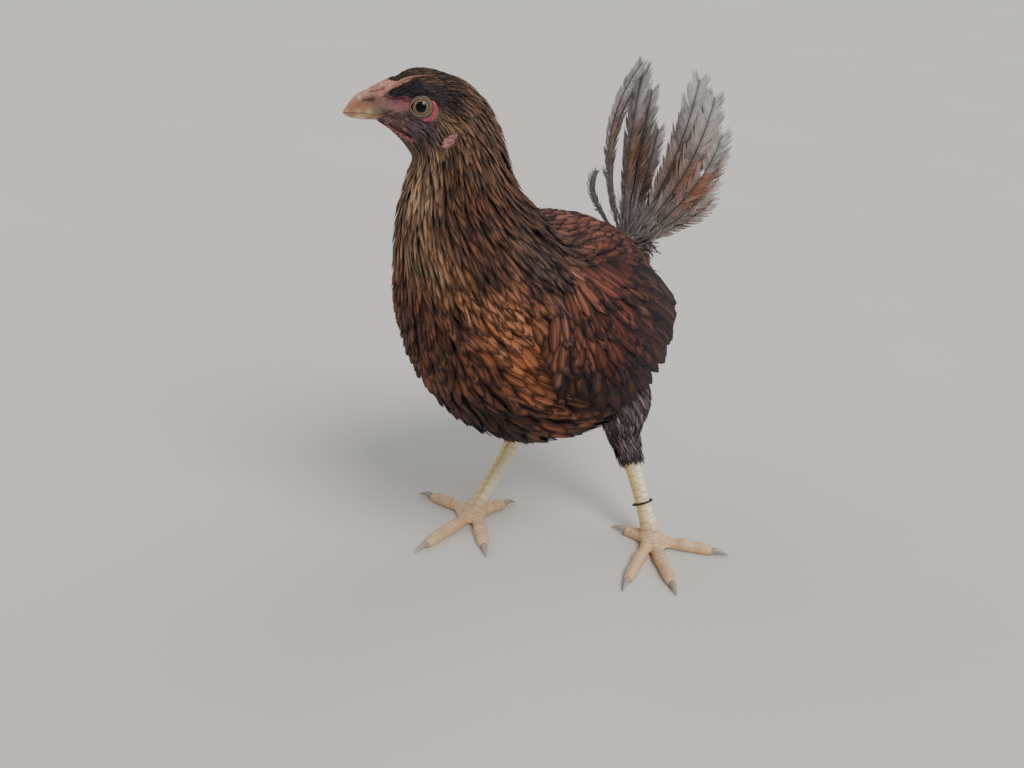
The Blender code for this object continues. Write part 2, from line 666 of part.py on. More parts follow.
def head_shell(name, out=GAP):
    return trunk_piece(name, 11.0, FACE_RING, 17, 24, out=out)


def make_comb():
    """A low young comb: a saddle on the forehead with small points, and a strip back each side."""
    angle = np.linspace(0, 2 * math.pi, 10, endpoint=False)
    saddle = loft("comb_saddle", [
        turned(np.full(10, forward), half_width * np.sin(angle), up + half_height * np.cos(angle))
        for forward, up, half_width, half_height in COMB
    ])
    pieces = []
    for forward, up, half_width, half_height in COMB[2:6]:
        for place in (-0.55, 0.0, 0.55):
            top = turned(forward, place * half_width, up + half_height * math.cos(place) * 0.92)
            size = (COMB_POINT, COMB_POINT, COMB_POINT * 0.8)
            pieces.append(ball("comb_point", top, size, head_axes(), (6, 4)))
    for sign in (1, -1):
        ring, degrees = np.array(COMB_STRIP).T
        line = trunk(ring, sign * np.radians(degrees), COMB_STRIP_RADIUS * 0.55)
        taper = COMB_STRIP_RADIUS * np.array([1.3, 1.2, 1.0, 0.85, 0.6])
        pieces.append(tube("comb_strip", line, taper, 7))
    clear = [head_shell("head_clear"), bill_form("bill_clear", GAP * 1.3)]
    finish("comb", saddle, "comb", joined=pieces, removed=clear, solver="MANIFOLD")


def make_face():
    for side in ("left", "right"):
        line = []
        for place in WATTLE_LINE:
            point, outward = mirrored(*on_head(*place), side)
            line.append(point + outward * WATTLE_OUT)
        fold = tube("wattle_fold", line, WATTLE_RADII, 8)
        finish(f"wattle_{side}", fold, "comb", removed=[head_shell("clear")])
        place, outward = mirrored(*on_head(*LOBE_AT), side)
        ahead, outward, up = disc_axes(outward)
        if side == "right":
            up = -up
        long = ahead * math.cos(LOBE_SLANT) + up * math.sin(LOBE_SLANT)
        lobe = ball("lobe", place, LOBE_SIZE, np.array([long, outward, np.cross(long, outward)]), (12, 8))
        finish(f"ear_lobe_{side}", lobe, "face", removed=[head_shell("clear")])


def floor_box(name):
    return box(name, (0, 0, -0.025), (0.4, 0.4, 0.05))


def along(direction):
    turn = math.radians(direction)
    return np.array([math.sin(turn), -math.cos(turn), 0.0])


def make_toe(side, foot, toe, direction, length):
    ahead = along(direction)
    reach = np.linspace(STUB_LENGTH + GAP, length - CLAW_LENGTH, len(TOE_RADII))
    radii = np.array(TOE_RADII)
    path = foot + ahead * reach[:, None] + np.array([0, 0, 1.0]) * (radii - SOLE_DIP)[:, None]
    body = tube("toe_form", path, radii, 8, ahead)
    count = TOE_SCUTES if length > 0.040 else 1
    scutes = []
    for i in range(count):
        at = (i + 0.6) / (count + 0.2) * (len(radii) - 1)
        centre = spline(path, at) + (0, 0, SCUTE_RAISED)
        radius = spline(radii[:, None], at)[0]
        scutes.append(cone("toe_scute", centre, ahead, (radius * 0.86, radius), 0.0030, 6))
    finish(f"toe_{side}_{toe}", body, "leg", joined=scutes, removed=[floor_box("floor")], solver="MANIFOLD")
    share = np.linspace(0, 1, 5)
    base = foot + ahead * (length - CLAW_LENGTH + GAP) + np.array([0, 0, TOE_RADII[-1] - SOLE_DIP])
    curve = base + ahead * (CLAW_LENGTH * share)[:, None]
    curve[:, 2] += 0.0012 * np.sin(math.pi * share) - (base[2] - 0.0009) * share**2
    claw = tube("claw_form", curve, CLAW_RADIUS * (1 - share**1.6) + 0.0004, 7, ahead)
    finish(f"claw_{side}_{toe}", claw, "claw")


def square_axes(ahead):
    """Three directions square to each other, the last one ahead."""
    side = np.cross([0.0, 1.0, 0.0], ahead)
    side /= np.linalg.norm(side)
    return np.array([side, np.cross(ahead, side), ahead])


def make_leg(side):
    leg = LEGS[side]
    hock = np.array(leg["hock"])
    foot = np.array([*leg["foot"], 0.0])
    sole = foot + (0, 0, PAD_HEIGHT)
    down = (sole - hock) / np.linalg.norm(sole - hock)
    end = sole - down * ANKLE_LENGTH
    cuff = hock + (end - hock) * CUFF_SHARE
    path = [leg["inside"], leg["thigh"], hock, cuff + down * CUFF_SPARE]
    bends = np.linspace(0, 3, 9)
    thigh = tube("thigh_form", spline(path, bends), spline(np.array(THIGH_RADII)[:, None], bends)[:, 0], 16)
    below = box("below_cuff", cuff + down * CUT_SIZE / 2, [CUT_SIZE] * 3, square_axes(down))
    finish(f"thigh_{side}", thigh, "slate", removed=[torso_shell("clear"), below], solver="MANIFOLD")
    share = np.linspace(0, 1, len(SHANK_RADII))[:, None]
    top = cuff + down * GAP
    shank = tube("shank_form", top + (end - down * GAP - top) * share, SHANK_RADII, 10, down)
    front = along(leg["toes"][1][1])
    front -= down * np.dot(front, down)
    scutes = []
    for i in range(SHANK_SCUTES):
        at = 0.10 + 0.84 * i / (SHANK_SCUTES - 1)
        radius = spline(np.array(SHANK_RADII)[:, None], at * (len(SHANK_RADII) - 1))[0]
        centre = top + (end - top) * at + front * SCUTE_RAISED
        scutes.append(cone("scute", centre, down, (radius * 0.93, radius * 1.01), 0.0038, 8))
    finish(f"shank_{side}", shank, "leg", joined=scutes, solver="MANIFOLD")
    pad_size = (PAD_RADIUS, PAD_RADIUS, PAD_HEIGHT)
    pad = ball("pad", foot + (0, 0, PAD_HEIGHT - 0.0012), pad_size, segments=(9, 7))
    pieces = [tube("ankle", [end, (end + sole) / 2, sole], (0.0050, 0.0055, 0.0060), 10, down)]
    for index, (name, direction, _) in enumerate(leg["toes"]):
        ahead = along(direction)
        reach = np.array([0.0013 + 0.0006 * index, 0.008, STUB_LENGTH])
        radii = np.array([0.0050, 0.0042, TOE_RADII[0]])
        line = foot + ahead * reach[:, None] + np.array([0, 0, 1.0]) * (radii - SOLE_DIP)[:, None]
        pieces.append(tube("stub_" + name, line, radii, 8, ahead))
    finish(f"foot_{side}", pad, "leg", joined=pieces, removed=[floor_box("floor")], solver="MANIFOLD")
    for name, direction, length in leg["toes"]:
        make_toe(side, foot, name, direction, length)
    return hock, end, down


def make_band(hock, end, down):
    centre = hock + (end - hock) * BAND_SHARE
    ring = torus("band_ring", centre, Vector(down), BAND_RADIUS, BAND_WIRE, (18, 5))
    tail_end = box("band_end", centre + (0, -BAND_RADIUS - 0.002, 0), (0.0016, 0.0060, 0.0012))
    finish("leg_band", ring, "band", joined=[tail_end])


def centre_on_floor():
    """Moves the whole hen so that the middle of its box is at x = y = 0."""
    parts = list(bpy.data.collections["pullet_hen"].objects)
    points = np.array([v.co for part in parts for v in part.data.vertices])
    middle = (points.min(0) + points.max(0)) / 2
    for part in parts:
        part.data.transform(Matrix.Translation((-middle[0], -middle[1], 0)))


def main():
    clear_scene()
    new_collection("pullet_hen")
    new_collection("cutters")
    make_trunk()
    make_wings()
    make_tail()
    make_head()
    make_bill()
    make_comb()
    make_face()
    band_place = make_leg("left")
    make_leg("right")
    make_band(*band_place)
    centre_on_floor()


main()
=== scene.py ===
# %% [markdown]
# # A laced pullet, feather by feather
# The solids that this scene loads are a young hen's true outline. Here they get their looks: bare
# skin on the face, horn on the bill, scutes on the legs, and some fifteen thousand feathers and
# single barbs, each one a thin closed vane that lies along the body.
# Everything is worked out from the same rings as the solids, so nothing needs fitting by eye.

# %% The frame
import math

import bpy
import numpy as np
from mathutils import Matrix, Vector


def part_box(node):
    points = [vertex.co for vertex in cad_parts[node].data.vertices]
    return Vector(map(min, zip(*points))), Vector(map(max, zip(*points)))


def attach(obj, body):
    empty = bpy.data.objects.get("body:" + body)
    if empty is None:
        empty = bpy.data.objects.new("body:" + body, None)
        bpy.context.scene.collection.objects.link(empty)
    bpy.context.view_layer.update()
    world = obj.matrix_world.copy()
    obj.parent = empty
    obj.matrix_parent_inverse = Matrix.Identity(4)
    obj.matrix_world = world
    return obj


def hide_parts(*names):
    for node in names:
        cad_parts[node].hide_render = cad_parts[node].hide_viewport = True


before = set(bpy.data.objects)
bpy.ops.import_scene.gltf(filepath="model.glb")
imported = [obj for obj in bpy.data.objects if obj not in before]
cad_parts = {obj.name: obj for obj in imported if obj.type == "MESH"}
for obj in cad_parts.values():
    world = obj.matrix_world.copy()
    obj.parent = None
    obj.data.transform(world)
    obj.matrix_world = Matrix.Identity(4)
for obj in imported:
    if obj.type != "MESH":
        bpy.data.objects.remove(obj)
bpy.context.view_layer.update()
rng = np.random.default_rng(20)

# %% [markdown]
# ## The body's form
# A bird's outline is what its feathers make of it. The torso, neck and head are rings in the
# hen's side view: the top and the underline as places forward and up, a half width, and how far
# above the middle the ring is widest. A smooth curve through the rings gives the surface as a
# function of two numbers, ring and angle. The neck's rings turn step by step about an upright
# axis, which is how the hen looks over its shoulder without a crease.

# %% Rings and the turned head
BODY_AT = np.array((-0.0150, -0.0230))
TRUNK = (
    (-0.0970, 0.1600, -0.0930, 0.1380, 0.0120, -0.10),
    (-0.0840, 0.1730, -0.0820, 0.1120, 0.0300, -0.12),
    (-0.0600, 0.1905, -0.0635, 0.0885, 0.0455, -0.12),
    (-0.0300, 0.2035, -0.0360, 0.0750, 0.0570, -0.08),
    (0.0000, 0.2110, -0.0040, 0.0700, 0.0630, -0.05),
    (0.0180, 0.2150, 0.0320, 0.0770, 0.0640, 0.00),
    (0.0300, 0.2190, 0.0620, 0.0950, 0.0600, 0.05),
    (0.0380, 0.2240, 0.0870, 0.1230, 0.0550, 0.10),
    (0.0440, 0.2310, 0.1030, 0.1560, 0.0480, 0.10),
    (0.0500, 0.2390, 0.1095, 0.1880, 0.0410, 0.05),
    (0.0535, 0.2490, 0.1105, 0.2150, 0.0350, 0.00),
    (0.0580, 0.2640, 0.1065, 0.2370, 0.0280, 0.00),
    (0.0660, 0.2780, 0.1035, 0.2475, 0.0235, 0.00),
    (0.0770, 0.2882, 0.1050, 0.2530, 0.0212, 0.00),
    (0.0885, 0.2930, 0.1085, 0.2575, 0.0198, 0.00),
    (0.0995, 0.2949, 0.1120, 0.2610, 0.0180, 0.00),
    (0.1085, 0.2930, 0.1155, 0.2640, 0.0157, 0.00),
    (0.1165, 0.2868, 0.1190, 0.2660, 0.0122, 0.00),
    (0.1250, 0.2826, 0.1225, 0.2676, 0.0080, 0.00),
)
NECK_RING, HEAD_RING, FACE_RING = 9.0, 12.6, 18.0
NECK_AXIS = 0.070
HEAD_TURN = math.radians(-45)
TURN_RINGS = (7.2, 11.9)
EYE_AT, EYE_RADIUS, EYE_SUNK = (0.1008, 0.2790), 0.0062, 0.0040
UP = np.array([0.0, 0.0, 1.0])
SIDES = ("left", 1), ("right", -1)


def spline(rows, at):
    """A smooth curve through the rows at row numbers that need not be whole (Catmull-Rom)."""
    rows = np.asarray(rows, float)
    at = np.clip(np.asarray(at, float), 0, len(rows) - 1 - 1e-9)
    low = at.astype(int)
    f = (at - low)[..., None]
    wide = np.vstack([2 * rows[0] - rows[1], rows, 2 * rows[-1] - rows[-2]])
    a, b, c, d = (wide[low + i] for i in range(4))
    return 0.5 * (2 * b + (c - a) * f + (2 * a - 5 * b + 4 * c - d) * f**2 + (3 * b - 3 * c + d - a) * f**3)


def smooth(low, high, x):
    """0 below low, 1 above high, and an S between them."""
    t = np.clip((x - low) / (high - low), 0, 1)
    return t * t * (3 - 2 * t)


def unit(vector):
    """The same direction with a length of 1."""
    return vector / np.maximum(np.linalg.norm(vector, axis=-1, keepdims=True), 1e-12)


def between(first, second, share):
    """The first value where the share is 0, the second where it is 1, and a straight mix between."""
    return first * (1 - share) + second * share


def by_turns(rings, sides, start=0.0):
    """Two grids over rings and sides: each ring's own number, and the angle once round."""
    turns = np.linspace(start, start + 2 * math.pi, sides, endpoint=False)
    return np.meshgrid(rings, turns, indexing="ij")


def ball_grid(rings, sides, gap):
    """A ball of radius 1 as rings from pole to pole, and each ring's angle from the first pole."""
    polar, turn = by_turns(np.linspace(gap, math.pi - gap, rings), sides)
    ball = np.stack([np.cos(turn) * np.sin(polar), np.sin(turn) * np.sin(polar), np.cos(polar)], -1)
    return ball, polar


def turned(forward, left, up, share=1.0):
    """A point of the side view, turned with the head about the neck's upright axis by that share."""
    angle = HEAD_TURN * share
    ahead = forward - NECK_AXIS
    x = ahead * np.sin(angle) + left * np.cos(angle)
    f = ahead * np.cos(angle) - left * np.sin(angle)
    return np.stack(np.broadcast_arrays(x + BODY_AT[0], BODY_AT[1] - f - NECK_AXIS, up), -1)


def ring_points(rows, ring, angle):
    """Forward, left and up on a form's rings; the angle runs from the top towards the left."""
    row = spline(rows, ring)
    cosine, sine = np.cos(angle), np.sin(angle)
    forward = (row[..., 0] + row[..., 2]) / 2 + (row[..., 0] - row[..., 2]) / 2 * cosine
    up = (row[..., 1] + row[..., 3]) / 2 + (row[..., 1] - row[..., 3]) / 2 * cosine
    return forward, row[..., 4] * sine * (1 + row[..., 5] * cosine), up


def trunk(ring, angle, out=0.0):
    """The body's surface at ring and angle, moved out along its normal."""
    ring, angle, out = np.broadcast_arrays(np.asarray(ring, float), np.asarray(angle, float), out)

    def flat(r, a):
        return turned(*ring_points(TRUNK, r, a), share=smooth(*TURN_RINGS, r))

    step = 0.01
    along = flat(ring + step, angle) - flat(ring - step, angle)
    around = flat(ring, angle + step) - flat(ring, angle - step)
    return flat(ring, angle) + unit(np.cross(along, around)) * np.asarray(out)[..., None]


def on_head(forward, up, side=1):
    """The place and outward direction on one cheek at a place of the head's side view."""
    rings, angles = np.linspace(HEAD_RING - 2, FACE_RING, 130), np.linspace(0.1, 3.0, 120)
    r, a = np.meshgrid(rings, angles, indexing="ij")
    f, _, z = ring_points(TRUNK, r, a)
    near = np.unravel_index(np.argmin((f - forward) ** 2 + (z - up) ** 2), r.shape)
    here = trunk(r[near], side * a[near])
    return here, trunk(r[near], side * a[near], 1.0) - here


def cheek_axes(forward, up, side):
    """A place on one cheek, and its directions ahead along the skin, up along it and outward."""
    here, outward = on_head(forward, up, side)
    ahead = turned(NECK_AXIS + 1, 0.0, 0.0) - turned(NECK_AXIS, 0.0, 0.0)
    ahead = unit(ahead - outward * np.dot(ahead, outward))
    upward = np.cross(ahead, outward)
    return here, np.array([ahead, upward if upward[2] > 0 else -upward, outward])


eye_place, eye_outward = on_head(*EYE_AT)
eye_box = np.array(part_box("eye_left"), float)
shift = eye_box.mean(0) - (eye_place - eye_outward * EYE_SUNK)
BODY_AT += shift[:2]
print("frame shift in mm", np.round(shift * 1000, 2))

# %% [markdown]
# ## Camera, floor and light
# The camera's pitch, roll and focal length come from where upright lines meet and where level
# ones meet. A feathered coat is all small relief, so it needs one light from the side to draw
# each vane's edge, and two weak ones to open the shadows.

# %% Camera
CAMERA_AZIMUTH, CAMERA_PITCH, CAMERA_ROLL = (math.radians(degrees) for degrees in (37.0, 24.6, 5.1))
CAMERA_BACK, CAMERA_RIGHT, CAMERA_HEIGHT = 0.6633, -0.0402, 0.40
PHOTO_WIDTH, PHOTO_FOCAL, SENSOR = 1024, 1186, 36.0


def placed(data, across, upward, backward, at):
    """A camera or lamp in the scene, from its three directions and its place."""
    made = bpy.data.objects.new(data.name, data)
    matrix = np.eye(4)
    matrix[:3] = np.stack([across, upward, backward, at], 1)
    made.matrix_world = matrix.T.tolist()
    bpy.context.scene.collection.objects.link(made)
    return made


away = np.array([-math.sin(CAMERA_AZIMUTH), math.cos(CAMERA_AZIMUTH), 0.0])
view_right = np.cross(away, UP)
look = away * math.cos(CAMERA_PITCH) - UP * math.sin(CAMERA_PITCH)
view_down = -away * math.sin(CAMERA_PITCH) - UP * math.cos(CAMERA_PITCH)
image_right = view_right * math.cos(CAMERA_ROLL) - view_down * math.sin(CAMERA_ROLL)
image_down = view_right * math.sin(CAMERA_ROLL) + view_down * math.cos(CAMERA_ROLL)
stand = view_right * CAMERA_RIGHT - away * CAMERA_BACK + [shift[0], shift[1], CAMERA_HEIGHT]

camera = bpy.data.cameras.new("camera")
camera.sensor_fit, camera.sensor_width = "HORIZONTAL", SENSOR
camera.lens = PHOTO_FOCAL / PHOTO_WIDTH * SENSOR
bpy.context.scene.camera = placed(camera, image_right, -image_down, -look, stand)
print("camera at", np.round(stand, 3), "lens", round(camera.lens, 1))

# %% [markdown]
# ## Painting with numbers
# A material is arithmetic on the surface: this mask times that colour. Writing it as arithmetic
# keeps it readable, so a small class wraps a node's output and turns +, - and * into Math nodes.
# Colours go through Mix nodes, because a Math node would turn them grey.

# %% The paint box
class Wire:
    """A node's output that can be used in Python expressions."""

    def __init__(self, paint, socket):
        self.paint, self.socket = paint, socket

    def __add__(self, other):
        return self.paint.maths("ADD", self, other)

    __radd__ = __add__

    def __sub__(self, other):
        return self.paint.maths("SUBTRACT", self, other)

    def __rsub__(self, other):
        return self.paint.maths("SUBTRACT", other, self)

    def __mul__(self, other):
        return self.paint.maths("MULTIPLY", self, other)

    __rmul__ = __mul__


class Paint:
    """A material under construction, with its Principled shader."""

    def __init__(self, name):
        self.material = bpy.data.materials.new(name)
        self.material.use_nodes = True
        self.tree = self.material.node_tree
        self.shader = self.tree.nodes["Principled BSDF"]

    def put(self, socket, value):
        """A wire, a number or a colour, which gets its alpha here, into a socket."""
        if isinstance(value, Wire):
            self.tree.links.new(value.socket, socket)
        else:
            socket.default_value = (*value, 1) if socket.type == "RGBA" else value

    def node(self, kind, values, output=0, **settings):
        """Any node: its sockets' values or wires, the output to use, and its settings."""
        made = self.tree.nodes.new("ShaderNode" + kind)
        for name, value in settings.items():
            setattr(made, name, value)
        for name, value in values.items():
            self.put(made.inputs[name], value)
        return Wire(self, made.outputs[output])

    def set(self, **values):
        """Values or wires for the shader's sockets, with _ for each space of their names."""
        for name, value in values.items():
            self.put(self.shader.inputs[name.replace("_", " ")], value)
        return self.material

    def maths(self, operation, first, second=0.0):
        """One Math node's operation on one or two values."""
        return self.node("Math", {0: first, 1: second}, operation=operation)

    def mix(self, first, second, share):
        """A colour between two, by a share from 0 to 1."""
        return self.node("Mix", {0: share, 6: first, 7: second}, 2, data_type="RGBA")

    def shade(self, colour, factor):
        """A colour made lighter or darker by a factor."""
        grey = self.node("CombineColor", {0: factor, 1: factor, 2: factor})
        return self.node("Mix", {0: 1.0, 6: colour, 7: grey}, 2, data_type="RGBA", blend_type="MULTIPLY")

    def step(self, value, low, high):
        """0 below low, 1 above high, and an S between them."""
        ends = {0: value, 1: low, 2: high, 3: 0.0, 4: 1.0}
        return self.node("MapRange", ends, interpolation_type="SMOOTHSTEP")

    def place(self):
        """The point's own place on the object."""
        return self.node("TexCoord", {}, 3)

    def stretched(self, scale):
        """The point's own place, each direction multiplied by its own factor."""
        return self.node("Mapping", {0: self.place(), 3: scale})

    def join(self, x, y, z):
        """Three numbers as one place."""
        return self.node("CombineXYZ", {0: x, 1: y, 2: z})

    def noise(self, scale, detail=3.0, where=None):
        """Smooth noise from 0 to 1, so many waves to the metre."""
        return self.node("TexNoise", {"Vector": where or self.place(), "Scale": scale, "Detail": detail})

    def read(self, name, output=0):
        """An attribute of the mesh: output 0 is its colour and 3 its alpha."""
        return self.node("Attribute", {}, output, attribute_name=name)

    def uv(self, name):
        """The two coordinates of a named UV map."""
        both = self.node("UVMap", {}, uv_map=name)
        return [self.node("SeparateXYZ", {0: both}, i) for i in (0, 1)]

    def bump(self, height, strength, distance):
        """The normal, tilted by the slope of a height that counts for so many metres."""
        return self.node("Bump", {"Strength": strength, "Distance": distance, "Height": height})


def rgb(red, green, blue):
    """A colour as the eye reads it, 0 to 255, turned into the light that a surface gives back."""
    value = np.array([red, green, blue]) / 255
    return np.where(value <= 0.04045, value / 12.92, ((value + 0.055) / 1.055) ** 2.4)

# %% [markdown]
# The floor is one large plane, far wider than the view, in a warm pale grey with a breath of
# unevenness. The lights are wide and far away, so the floor is lit evenly to the edge of view.

# %% Floor and lights
FLOOR_SIZE = 60.0
FLOOR_TONES = rgb(205, 201, 195), rgb(214, 211, 206)
SUNS = (
    # where the light comes from, how wide its source looks, strength, colour
    ((0.95, -0.40, 1.30), 28, 2.1, (1.0, 0.98, 0.95)),
    ((-0.95, -0.45, 0.80), 60, 0.55, (0.93, 0.96, 1.0)),
    ((0.10, 0.95, 1.00), 50, 0.7, (1.0, 0.99, 0.97)),
)
SKY_TONE, SKY_STRENGTH = (0.90, 0.93, 0.97, 1), 0.42

bpy.ops.mesh.primitive_plane_add(size=FLOOR_SIZE)
floor = bpy.context.active_object
floor.name = "floor"
paint = Paint("floor_paint")
floor.data.materials.append(
    paint.set(Base_Color=paint.mix(*FLOOR_TONES, paint.noise(3.0, 2.0)), Roughness=0.85)
)
for number, (place, wide, power, colour) in enumerate(SUNS):
    lamp = bpy.data.lights.new(f"soft_light_{number}", "SUN")
    lamp.angle, lamp.energy, lamp.color = math.radians(wide), power, colour
    back = unit(np.array(place))
    side = unit(np.cross(UP, back))
    placed(lamp, side, np.cross(back, side), back, place)
world = bpy.data.worlds.new("studio")
world.use_nodes = True
sky = world.node_tree.nodes["Background"].inputs
sky[0].default_value, sky[1].default_value = SKY_TONE, SKY_STRENGTH
bpy.context.scene.world = world
print("lights", len(SUNS), "floor", FLOOR_SIZE, "m wide")

# %% [markdown]
# ## From arrays to meshes
# Every new piece is a grid of points, worked out as one array. Two helpers turn grids into
# meshes: one for a closed skin over rings, with a fan of faces on each end, and one for
# thousands of vanes at once. Each vane is a lens: an upper and a lower side that share their
# rim, so it is a closed solid however thin it is.

# %% Meshes from arrays
BAKE_PATCH = 0.003
SHARP_EDGE = math.radians(70)


def shares(count):
    """Shares of a vane's length, from root to tip, closer together where the tip rounds off."""
    return 1 - (1 - np.linspace(0, 1, count)) ** 1.4


def add_mesh(name, points, faces, layers, attributes, paint, nodes):
    """An object from arrays: faces of four, UV maps given per corner, attributes per vertex."""
    mesh = bpy.data.meshes.new(name)
    mesh.vertices.add(len(points))
    mesh.vertices.foreach_set("co", np.asarray(points, np.float32).ravel())
    sizes = (faces >= 0).sum(1)
    corners = faces[faces >= 0]
    mesh.loops.add(len(corners))
    mesh.loops.foreach_set("vertex_index", corners.astype(np.int32))
    mesh.polygons.add(len(faces))
    mesh.polygons.foreach_set("loop_start", (np.cumsum(sizes) - sizes).astype(np.int32))
    mesh.update(calc_edges=True)
    for layer_name, places in layers.items():
        layer = mesh.uv_layers.new(name=layer_name)
        layer.data.foreach_set("uv", np.asarray(places, np.float32)[faces >= 0].ravel())
    for attribute_name, values in attributes.items():
        made = mesh.attributes.new(attribute_name, "FLOAT_COLOR", "POINT")
        full = np.ones((len(points), 4), np.float32)
        full[:, : values.shape[1]] = values
        made.data.foreach_set("color", full.ravel())
    mesh.polygons.foreach_set("use_smooth", np.ones(len(faces), bool))
    mesh.materials.append(paint)
    made = bpy.data.objects.new(name, mesh)
    bpy.context.scene.collection.objects.link(made)
    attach(made, "root")
    if nodes:
        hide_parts(*nodes)
    print(name, len(points), "points", int((sizes - 2).sum()), "triangles")
    return made


def ring_mesh(name, parts, paint, nodes=()):
    """Closed skins over rings as one object; each part is a grid of points and its values."""
    made = [ring_arrays(*part) for part in parts]
    starts = np.cumsum([0] + [len(points) for points, *_ in made])
    faces = np.vstack([np.where(f >= 0, f + start, -1) for (_, f, _, _), start in zip(made, starts)])
    points, places = (np.vstack([part[k] for part in made]) for k in (0, 2))
    values = {key: np.vstack([part[3][key] for part in made]) for key in made[0][3]}
    return add_mesh(name, points, faces, {"wrap": places}, values, paint, nodes)


def ring_arrays(grid, attributes):
    """Points, faces, UV places and vertex values of one closed skin over rings, facing outwards.

    The grid is (rings, around, 3), and a fan of triangles round its middle closes each end."""
    rings, around = grid.shape[:2]
    index = np.arange(rings * around).reshape(rings, around)
    beside = np.roll(index, -1, axis=1)
    quads = np.stack([index[:-1], index[1:], beside[1:], beside[:-1]], -1).reshape(-1, 4)
    first, last, none = (np.full(around, number) for number in (rings * around, rings * around + 1, -1))
    front_cap = np.stack([first, index[0], beside[0], none], -1)
    back_cap = np.stack([last, beside[-1], index[-1], none], -1)
    faces = np.vstack([quads, front_cap, back_cap])
    points = np.vstack([grid.reshape(-1, 3), grid[0].mean(0), grid[-1].mean(0)])
    u, v = np.meshgrid(np.arange(around) / around, np.arange(rings) / (rings - 1))
    low = np.stack([u, v], -1)
    high, half, empty = low + [1 / around, 0], low + [0.5 / around, 0], low[0] * 0
    wall = np.stack([low[:-1], low[1:], high[1:], high[:-1]], 2).reshape(-1, 4, 2)
    caps = np.vstack([
        np.stack([half[0], low[0], high[0], empty], 1), np.stack([half[-1], high[-1], low[-1], empty], 1),
    ])
    a, b, c = (points[faces[:, k]] for k in range(3))
    if np.einsum("ij,ij->i", a, np.cross(b, c)).sum() < 0:
        faces = np.where(faces[:, 3:] >= 0, faces[:, ::-1], faces[:, [2, 1, 0, 3]])
        wall, caps = wall[:, ::-1], caps[:, [2, 1, 0, 3]]
    values = {}
    for key, value in attributes.items():
        value = np.broadcast_to(value, (rings, around, np.shape(value)[-1]))
        values[key] = np.vstack([value.reshape(rings * around, -1), value[0].mean(0), value[-1].mean(0)])
    return points, faces, np.vstack([wall, caps]), values


def vane_mesh(name, top, normal, thickness, bake, attributes, paint, nodes=()):
    """Many vanes at once from their upper sides, (vanes, along, across, 3), each a closed lens.

    The lower side is the upper one less the thickness along the normal, and shares its rim."""
    count, along, across = top.shape[:3]
    upper = np.arange(along * across).reshape(along, across)
    lower = upper.copy()
    inner = (along - 2) * (across - 2)
    lower[1:-1, 1:-1] = along * across + np.arange(inner).reshape(along - 2, across - 2)
    under = top[:, 1:-1, 1:-1] - normal[:, 1:-1, None] * np.reshape(thickness, (-1, 1, 1, 1))
    points = np.concatenate([top.reshape(count, -1, 3), under.reshape(count, -1, 3)], 1)
    over, beneath = (
        np.stack([side[:-1, :-1], side[1:, :-1], side[1:, 1:], side[:-1, 1:]], -1).reshape(-1, 4)
        for side in (upper, lower)
    )
    one = np.vstack([over, beneath[:, ::-1]])
    faces = (one[None] + (np.arange(count) * points.shape[1])[:, None, None]).reshape(-1, 4)
    s, v = np.meshgrid(shares(along), np.linspace(0, 1, across), indexing="ij")
    own = np.stack([v, s], -1)
    own = np.vstack([own.reshape(-1, 2), own[1:-1, 1:-1].reshape(-1, 2)])
    corners = np.tile(own[one], (count, 1, 1))
    patch = np.repeat(bake, len(one), 0)[:, None] + (corners - 0.5) * BAKE_PATCH
    values = {}
    for key, value in attributes.items():
        value = np.broadcast_to(value[:, None], (count, along, value.shape[-1]))
        both = [np.repeat(value, across, 1), np.repeat(value[:, 1:-1], across - 2, 1)]
        values[key] = np.concatenate(both, 1).reshape(-1, value.shape[-1])
    layers = {"OFBake": patch, "vane": corners}
    made = add_mesh(name, points.reshape(-1, 3), faces, layers, values, paint, nodes)
    made.data.set_sharp_from_angle(angle=SHARP_EDGE)

# %% [markdown]
# ## How a feather lies
# A feather grows from its root in the direction of its tract and follows the body's curve. So
# its centre line is walked over the surface in a few steps: at each step the surface
# tells how many metres one ring and one radian are worth there. The vane then spreads to both
# sides of that line, bends down at its edges and lifts a little from root to tip, which is what
# makes each row overlap the next like tiles.

# %% Centre lines and vanes
JITTER = 0.25


def on(surface, p, q, step=0.01):
    """On a surface of two numbers: the normal, and how many metres one unit of each is worth."""
    by_p = (surface(p + step, q, 0.0) - surface(p - step, q, 0.0)) / (2 * step)
    by_q = (surface(p, q + step, 0.0) - surface(p, q - step, 0.0)) / (2 * step)
    size_p, size_q = (np.maximum(np.linalg.norm(way, axis=-1), 1e-4) for way in (by_p, by_q))
    return unit(np.cross(by_p, by_q)), size_p, size_q


def walk(surface, p, q, lie, length, turn, steps):
    """Lines of short steps from each root; lie gives how far back and how far down.

    Each step is the length's share in the direction of lie, turned by a little, in metres, and
    divided by what one unit of ring or angle is worth there."""
    path = [(p, q)]
    for part in np.diff(shares(steps)):
        _, size_p, size_q = on(surface, p, q)
        back, low = lie(p, q)
        size = np.hypot(back, low)
        back, low = back / size, low / size
        back, low = back * np.cos(turn) - low * np.sin(turn), back * np.sin(turn) + low * np.cos(turn)
        p = p - back * length * part / size_p
        q = q + low * np.sign(q) * length * part / size_q
        path.append((p, q))
    both = np.array(path)
    return both[:, 0].T, both[:, 1].T


